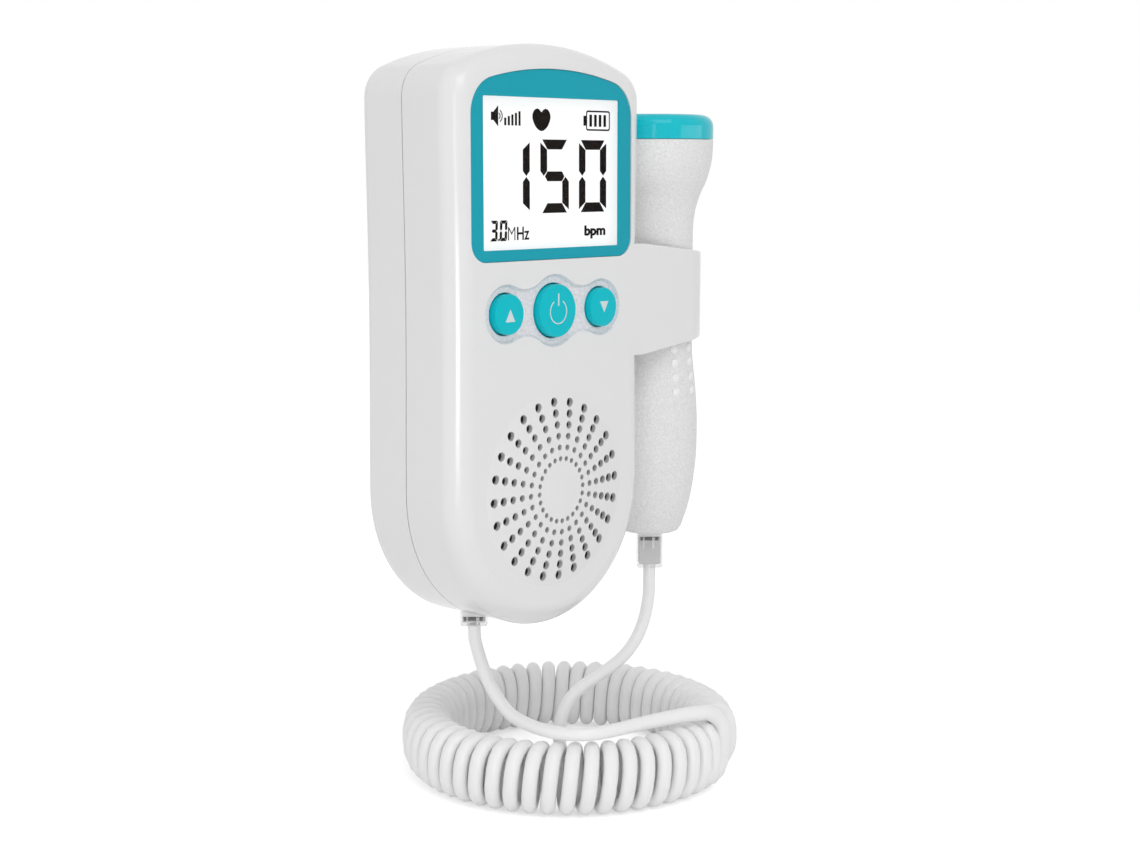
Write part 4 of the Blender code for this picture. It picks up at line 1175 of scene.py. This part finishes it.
def smooth_line(points, steps):
    """A smooth curve through points of any dimension, straight at both ends."""
    knots = [np.array(p, float) for p in points]
    route = [knots[0]]
    for a, b, c, d in zip(knots, knots[1:], knots[2:], knots[3:]):
        for k in range(steps):
            t = k / steps
            route.append((2 * b + (c - a) * t + (2 * a - 5 * b + 4 * c - d) * t ** 2
                          + (3 * b - 3 * c + d - a) * t ** 3) / 2)
    return route + knots[-2:]


def probe_outer():
    """The probe's outer side as radius and height, from the head down to the foot."""
    def blend(shares, low, high, low_radius, high_radius):
        return [(low_radius + (high_radius - low_radius) * r, low + (high - low) * h) for h, r in shares]
    head = blend(flare_shares, neck_top, probe_head_height, probe_neck_radius, probe_head_radius)
    swell = blend(swell_shares, neck_bottom, belly_height, probe_neck_radius, probe_belly_radius)
    foot = blend(foot_shares, belly_height, probe_foot_height, probe_belly_radius, probe_foot_radius)
    profile = [(probe_head_radius, probe_head_height)] + head[::-1]
    profile += [(probe_neck_radius, neck_top), (probe_neck_radius, neck_bottom)] + swell
    profile += [(probe_belly_radius, belly_height)] + foot
    return [tuple(p) for p in smooth_line(profile, 6)]


def probe_handle():
    """The grained handle, with its spigot under the cap and the finger bumps."""
    top = probe_head_height - head_seam
    outer = [(r, min(z, top)) for r, z in probe_outer()]
    outer = [(probe_head_radius - probe_edge, top), (probe_head_radius, top - probe_edge)] + outer[2:]
    foot = probe_foot_height
    floor = foot + probe_wall
    spigot = probe_head_radius - cap_wall - fit_gap
    bore = spigot - spigot_wall
    spigot_top = probe_head_height + spigot_height
    outer += [(probe_foot_radius + foot_bulge, foot + foot_round), (probe_foot_radius - probe_edge, foot),
              (0, foot), (0, floor), (probe_foot_radius - foot_floor_inset, floor)]
    inner = [(min(r - probe_wall, bore), z) for r, z in probe_outer()[::4] if foot + bore_low < z < top]
    profile = [(spigot, spigot_top), (spigot, top)] + outer + inner[::-1]
    profile += [(bore, top), (bore, spigot_top)]
    handle = draft(lathe(profile, (probe_x, probe_y, 0), 96))
    combine(handle, block((probe_x - socket_half_width, probe_y - socket_half_depth, foot - 1),
                          (probe_x + socket_half_width, probe_y + socket_half_depth, floor + 1)))
    shaded(handle)
    into_frame(handle, "probe_handle", [probe_white], "probe", ["probe_body"])
    grip_bumps()


def probe_radius(height):
    """The handle's outer radius at a height."""
    line = sorted(((z, r) for r, z in probe_outer()))
    return float(np.interp(height, [z for z, _ in line], [r for _, r in line]))


def grip_bumps():
    """Two columns of small round bumps on the front of the handle."""
    whole = bmesh.new()
    for height in grip_bump_heights:
        for side in (-1, 1):
            turn = -math.pi / 2 + side * grip_bump_angle
            reach = probe_radius(height)
            out = Vector((math.cos(turn), math.sin(turn), 0))
            across = Vector((-out.y, out.x, 0))
            centre = Vector((probe_x, probe_y, height)) + out * (reach - grip_bump_sunk)
            rings = []
            for k in range(6):
                along = k / 5
                radius = grip_bump_radius * math.cos(along * math.pi / 2)
                rise = grip_bump_rise * math.sin(along * math.pi / 2)
                rings.append([centre + out * rise + (across * math.cos(t) + Vector((0, 0, 1)) * math.sin(t))
                              * radius for t in np.linspace(0, 2 * math.pi, 24, endpoint=False)])
            pour(whole, loft([[tuple(p) for p in ring] for ring in rings[:-1]]))
    bumps = draft(whole)
    bumps.data.shade_smooth()
    into_frame(bumps, "grip_bumps", [bump_white], "probe")


def probe_cap():
    """The glossy cap whose flat top is laid on the skin."""
    bore = probe_head_radius - cap_wall
    top = probe_head_height + probe_cap_height
    ceiling = top - cap_wall
    corner = [(probe_head_radius - drawn, top - depth) for drawn, depth in round_steps(cap_corner, 12)]
    profile = [(0, top)] + corner
    profile += [(probe_head_radius, probe_head_height + cap_edge),
                (probe_head_radius - cap_edge, probe_head_height),
                (bore, probe_head_height), (bore, ceiling), (0, ceiling)]
    cap = draft(lathe(profile, (probe_x, probe_y, 0), 96))
    shaded(cap)
    into_frame(cap, "probe_cap_shell", [cap_turquoise], "probe", ["probe_cap"])


# Plugs and cord

def plug_row(row, low, high):
    """A row of small bars, each given by its side and width, just inside the plug's front."""
    whole = bmesh.new()
    for side, width in row:
        pour(whole, block((side - width / 2, contact_front - plug_depth / 2, low),
                          (side + width / 2, contact_back - plug_depth / 2, high), contact_edge, 1))
    return whole


def plug(name, centre, low, shown, row_drop, body):
    """A clear plug turned to the front left, with a grey core, dark contacts and pale slots and throat."""
    place = Matrix.Translation((*centre, low)) @ Matrix.Rotation(plug_turn, 4, "Z")
    half_x = plug_width / 2
    half_y = plug_depth / 2
    in_x = half_x - plug_skin
    in_y = half_y - plug_skin
    row = shown - row_drop
    shell = block((-half_x, -half_y, 0), (half_x, half_y, shown + shell_past_boot), plug_edge, 3)
    core = block((-in_x, -in_y, 2 * plug_skin), (in_x, in_y, row + core_past_row), core_edge)
    contacts = plug_row(contact_row, *[row + rise for rise in contact_rises])
    slots = plug_row(slot_row, max(row + slot_rises[0], slot_floor), row + slot_rises[1])
    pour(slots, block((-in_x, -in_y, row + throat_inset), (in_x, in_y, shown + throat_inset),
                      contact_edge, 1))
    for part, shape, finish in (("shell", shell, plug_clear), ("core", core, plug_grey),
                                ("contacts", contacts, dark_plastic), ("slots", slots, cord_white)):
        shape.transform(place)
        piece = draft(shape)
        if part == "shell":
            shaded(piece)
        into_frame(piece, f"{name}_{part}", [finish], body, [name] if part == "shell" else [])


def curl_line(points_per_turn):
    """The curly ring's centre line, from the outer side at its right round to its inner end."""
    middle = np.array(ring_centre)
    turns = curls + 0.25
    count = round(turns * points_per_turn)
    line = []
    for k in range(count + 1):
        turn = turns * k / count
        phase = 2 * math.pi * turn
        across, rise = math.cos(phase), math.sin(phase)
        fuller = (abs(across) ** curl_fullness + abs(rise) ** curl_fullness) ** (-1 / curl_fullness)
        reach = ring_radius + curl_reach * across * fuller
        along = ring_start - ring_sweep * turn / turns
        line.append(middle + np.array((reach * math.cos(along), reach * math.sin(along),
                                       -curl_rise * rise * fuller)))
    return line


def curl_end(line):
    """Where the last curl hands over to the probe's lead, and the way it points."""
    inwards = (np.array(ring_centre) - line[-1]) * (1, 1, 0)
    away = inwards / np.linalg.norm(inwards)
    return line[-1] + away * cord_diameter, away


def cord_curve(name, points, radii):
    """A smooth round cord along points."""
    curve = bpy.data.curves.new(name, "CURVE")
    curve.dimensions = "3D"
    curve.bevel_depth = cord_diameter / 2 / 1000
    curve.bevel_resolution = 5
    curve.use_fill_caps = True
    spline = curve.splines.new("POLY")
    spline.points.add(len(points) - 1)
    for point, position, radius in zip(spline.points, points, radii):
        point.co = (*(to_metres @ Vector(position)), 1)
        point.radius = radius
    spline.use_smooth = True
    thing = bpy.data.objects.new(name, curve)
    scene.collection.objects.link(thing)
    curve.materials.append(cord_white)
    return thing


def curly_lead(line):
    """The unit's lead and the curly ring as one cord, with its route."""
    start = line[0] + np.array((0, 0, cord_diameter))
    lead = smooth_line(list(unit_lead_route) + [start + np.array((0, 0, last_rise)), start], 8)[:-1]
    route = lead + line + [curl_end(line)[0]]
    swelling = [0] + [share * len(lead) for share in swell_shares_of_lead]
    swelling += [len(lead), len(lead) + curl_points]
    radii = np.interp(range(len(route)), swelling, [thin, thin, lead_swell, lead_swell, 1.0]).tolist()
    cord = cord_curve("curly_lead", route, radii)
    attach(cord, "case")
    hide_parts("unit_lead", "curly_cord")
    return cord, route


def probe_tail(line):
    """The probe's lead as a plain mesh, with its route."""
    end, away = curl_end(line)
    points = list(probe_lead_route) + [end + away * (fit_gap + lead_diameter), end + away * fit_gap]
    route = smooth_line(points, 8)
    tube = cord_curve("probe_tail", route, [thin] * len(route))
    mesh = as_mesh(tube)
    bpy.data.objects.remove(tube)
    tail = bpy.data.objects.new("probe_tail", mesh)
    scene.collection.objects.link(tail)
    mesh.materials.clear()
    mesh.materials.append(cord_white)
    mesh.shade_smooth()
    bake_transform(tail)
    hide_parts("probe_lead")
    return tail, route


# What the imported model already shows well

def dress_nodes():
    """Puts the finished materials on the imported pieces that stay."""
    finishes = {
        lens_clear: ("display_lens",), display_white: ("display_panel",),
        guide_white: ("display_backlight",), board_green: ("main_board", "probe_board"),
        # The speaker's frame and cone are dark; for the frame this is painted shade behind the grille's
        # holes
        dark_plastic: ("processor", "audio_amplifier", "up_switch", "power_switch", "down_switch",
                       "unit_socket", "probe_socket", "crystal_holder", "speaker_frame"),
        plain_steel: ("speaker_magnet", "capacitor", "battery_spring_left",
                      "battery_spring_right", "case_screw_1", "case_screw_2", "case_screw_3",
                      "case_screw_4"),
        gold_contact: ("contact_bridge", "contact_left", "contact_right"),
        paper_black: ("speaker_cone",), cell_wrap: ("battery_left", "battery_right"),
        crystal_tan: ("crystal_left", "crystal_right"), damping_grey: ("damping_block",),
    }
    for material, names in finishes.items():
        for name in names:
            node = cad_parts[name]
            for place in node.material_slots:
                place.material = material


# Camera, light and floor

def camera():
    """The photograph's view: a long lens from the left, slightly above, in plain tones."""
    scene.view_settings.view_transform = "Standard"
    lens = bpy.data.cameras.new("view")
    lens.sensor_width = 36
    lens.lens = lens_length
    lens.clip_start = 0.01
    lens.clip_end = 20
    eye = bpy.data.objects.new("view", lens)
    scene.collection.objects.link(eye)
    level = math.cos(camera_tilt)
    look = Vector((math.sin(camera_turn) * level, math.cos(camera_turn) * level, -math.sin(camera_tilt)))
    eye.location = to_metres @ Vector(camera_place)
    eye.rotation_euler = look.to_track_quat("-Z", "Y").to_euler()
    scene.camera = eye


def area_light(name, place, target, size, power, gloss_only=False):
    """A rectangular light that faces a target, both in case millimetres; it can be seen as gloss only."""
    lamp = bpy.data.lights.new(name, "AREA")
    lamp.shape = "RECTANGLE"
    lamp.size, lamp.size_y = size
    lamp.energy = power
    thing = bpy.data.objects.new(name, lamp)
    scene.collection.objects.link(thing)
    thing.location = to_metres @ Vector(place)
    way = (to_metres @ Vector(target)) - thing.location
    thing.rotation_euler = way.to_track_quat("-Z", "Y").to_euler()
    thing.visible_diffuse = not gloss_only
    return thing


def sky():
    """A white background that gives a soft light, a little stronger from above."""
    world = bpy.data.worlds.new("studio")
    world.use_nodes = True
    scene.world = world
    tree = world.node_tree
    shown = tree.nodes["Background"]
    shown.inputs["Color"].default_value = (1, 1, 1, 1)
    soft = tree.nodes.new("ShaderNodeBackground")
    place = tree.nodes.new("ShaderNodeTexCoord")
    parts = tree.nodes.new("ShaderNodeSeparateXYZ")
    tree.links.new(place.outputs["Generated"], parts.inputs[0])
    rise = math_node(tree, "MULTIPLY", parts.outputs["Z"], sky_rise)
    tree.links.new(math_node(tree, "ADD", rise, sky_level), soft.inputs["Strength"])
    mix = tree.nodes.new("ShaderNodeMixShader")
    tree.links.new(seen_directly(tree), mix.inputs["Fac"])
    tree.links.new(soft.outputs[0], mix.inputs[1])
    tree.links.new(shown.outputs[0], mix.inputs[2])
    tree.links.new(mix.outputs[0], tree.nodes["World Output"].inputs["Surface"])


def light_up():
    """The lights, and a card that shows only as gloss on the probe's cap."""
    for light in lights:
        area_light(*light)
    card = area_light(*cap_card, gloss_only=True)
    lit_by_card = bpy.data.collections.new("lit_by_card")
    lit_by_card.objects.link(bpy.data.objects["probe_cap_shell"])
    card.light_linking.receiver_collection = lit_by_card


def lay_floor():
    """The pale floor just under the cord's ring."""
    bm = bmesh.new()
    bmesh.ops.create_grid(bm, x_segments=1, y_segments=1, size=floor_half)
    mesh = bpy.data.meshes.new("floor")
    bm.to_mesh(mesh)
    bm.free()
    floor = bpy.data.objects.new("floor", mesh)
    scene.collection.objects.link(floor)
    mesh.materials.append(floor_pale)
    floor.location = (0, 0, cad_box[0][2] - floor_drop)


camera()
ring_line = curl_line(curl_points)
cord_pieces = (*curly_lead(ring_line), *probe_tail(ring_line))
front_case()
rear_case()
battery_door()
display()
for button in buttons():
    push_button(*button)
button_marks()
probe_handle()
probe_cap()
probe_plug_length = probe_plug_shown + probe_plug_boot
plug("probe_plug", (probe_x, probe_y), probe_foot_height - probe_plug_length, probe_plug_length,
     probe_row_drop, "probe")
socket_foot = case_half_width - math.sqrt(case_half_width ** 2 - socket_side ** 2)
unit_plug_length = unit_plug_shown + unit_plug_boot
plug("unit_plug", (socket_side, socket_depth), socket_foot - unit_plug_length, unit_plug_length,
     unit_row_drop, "case")
dress_nodes()
sky()
light_up()
lay_floor()
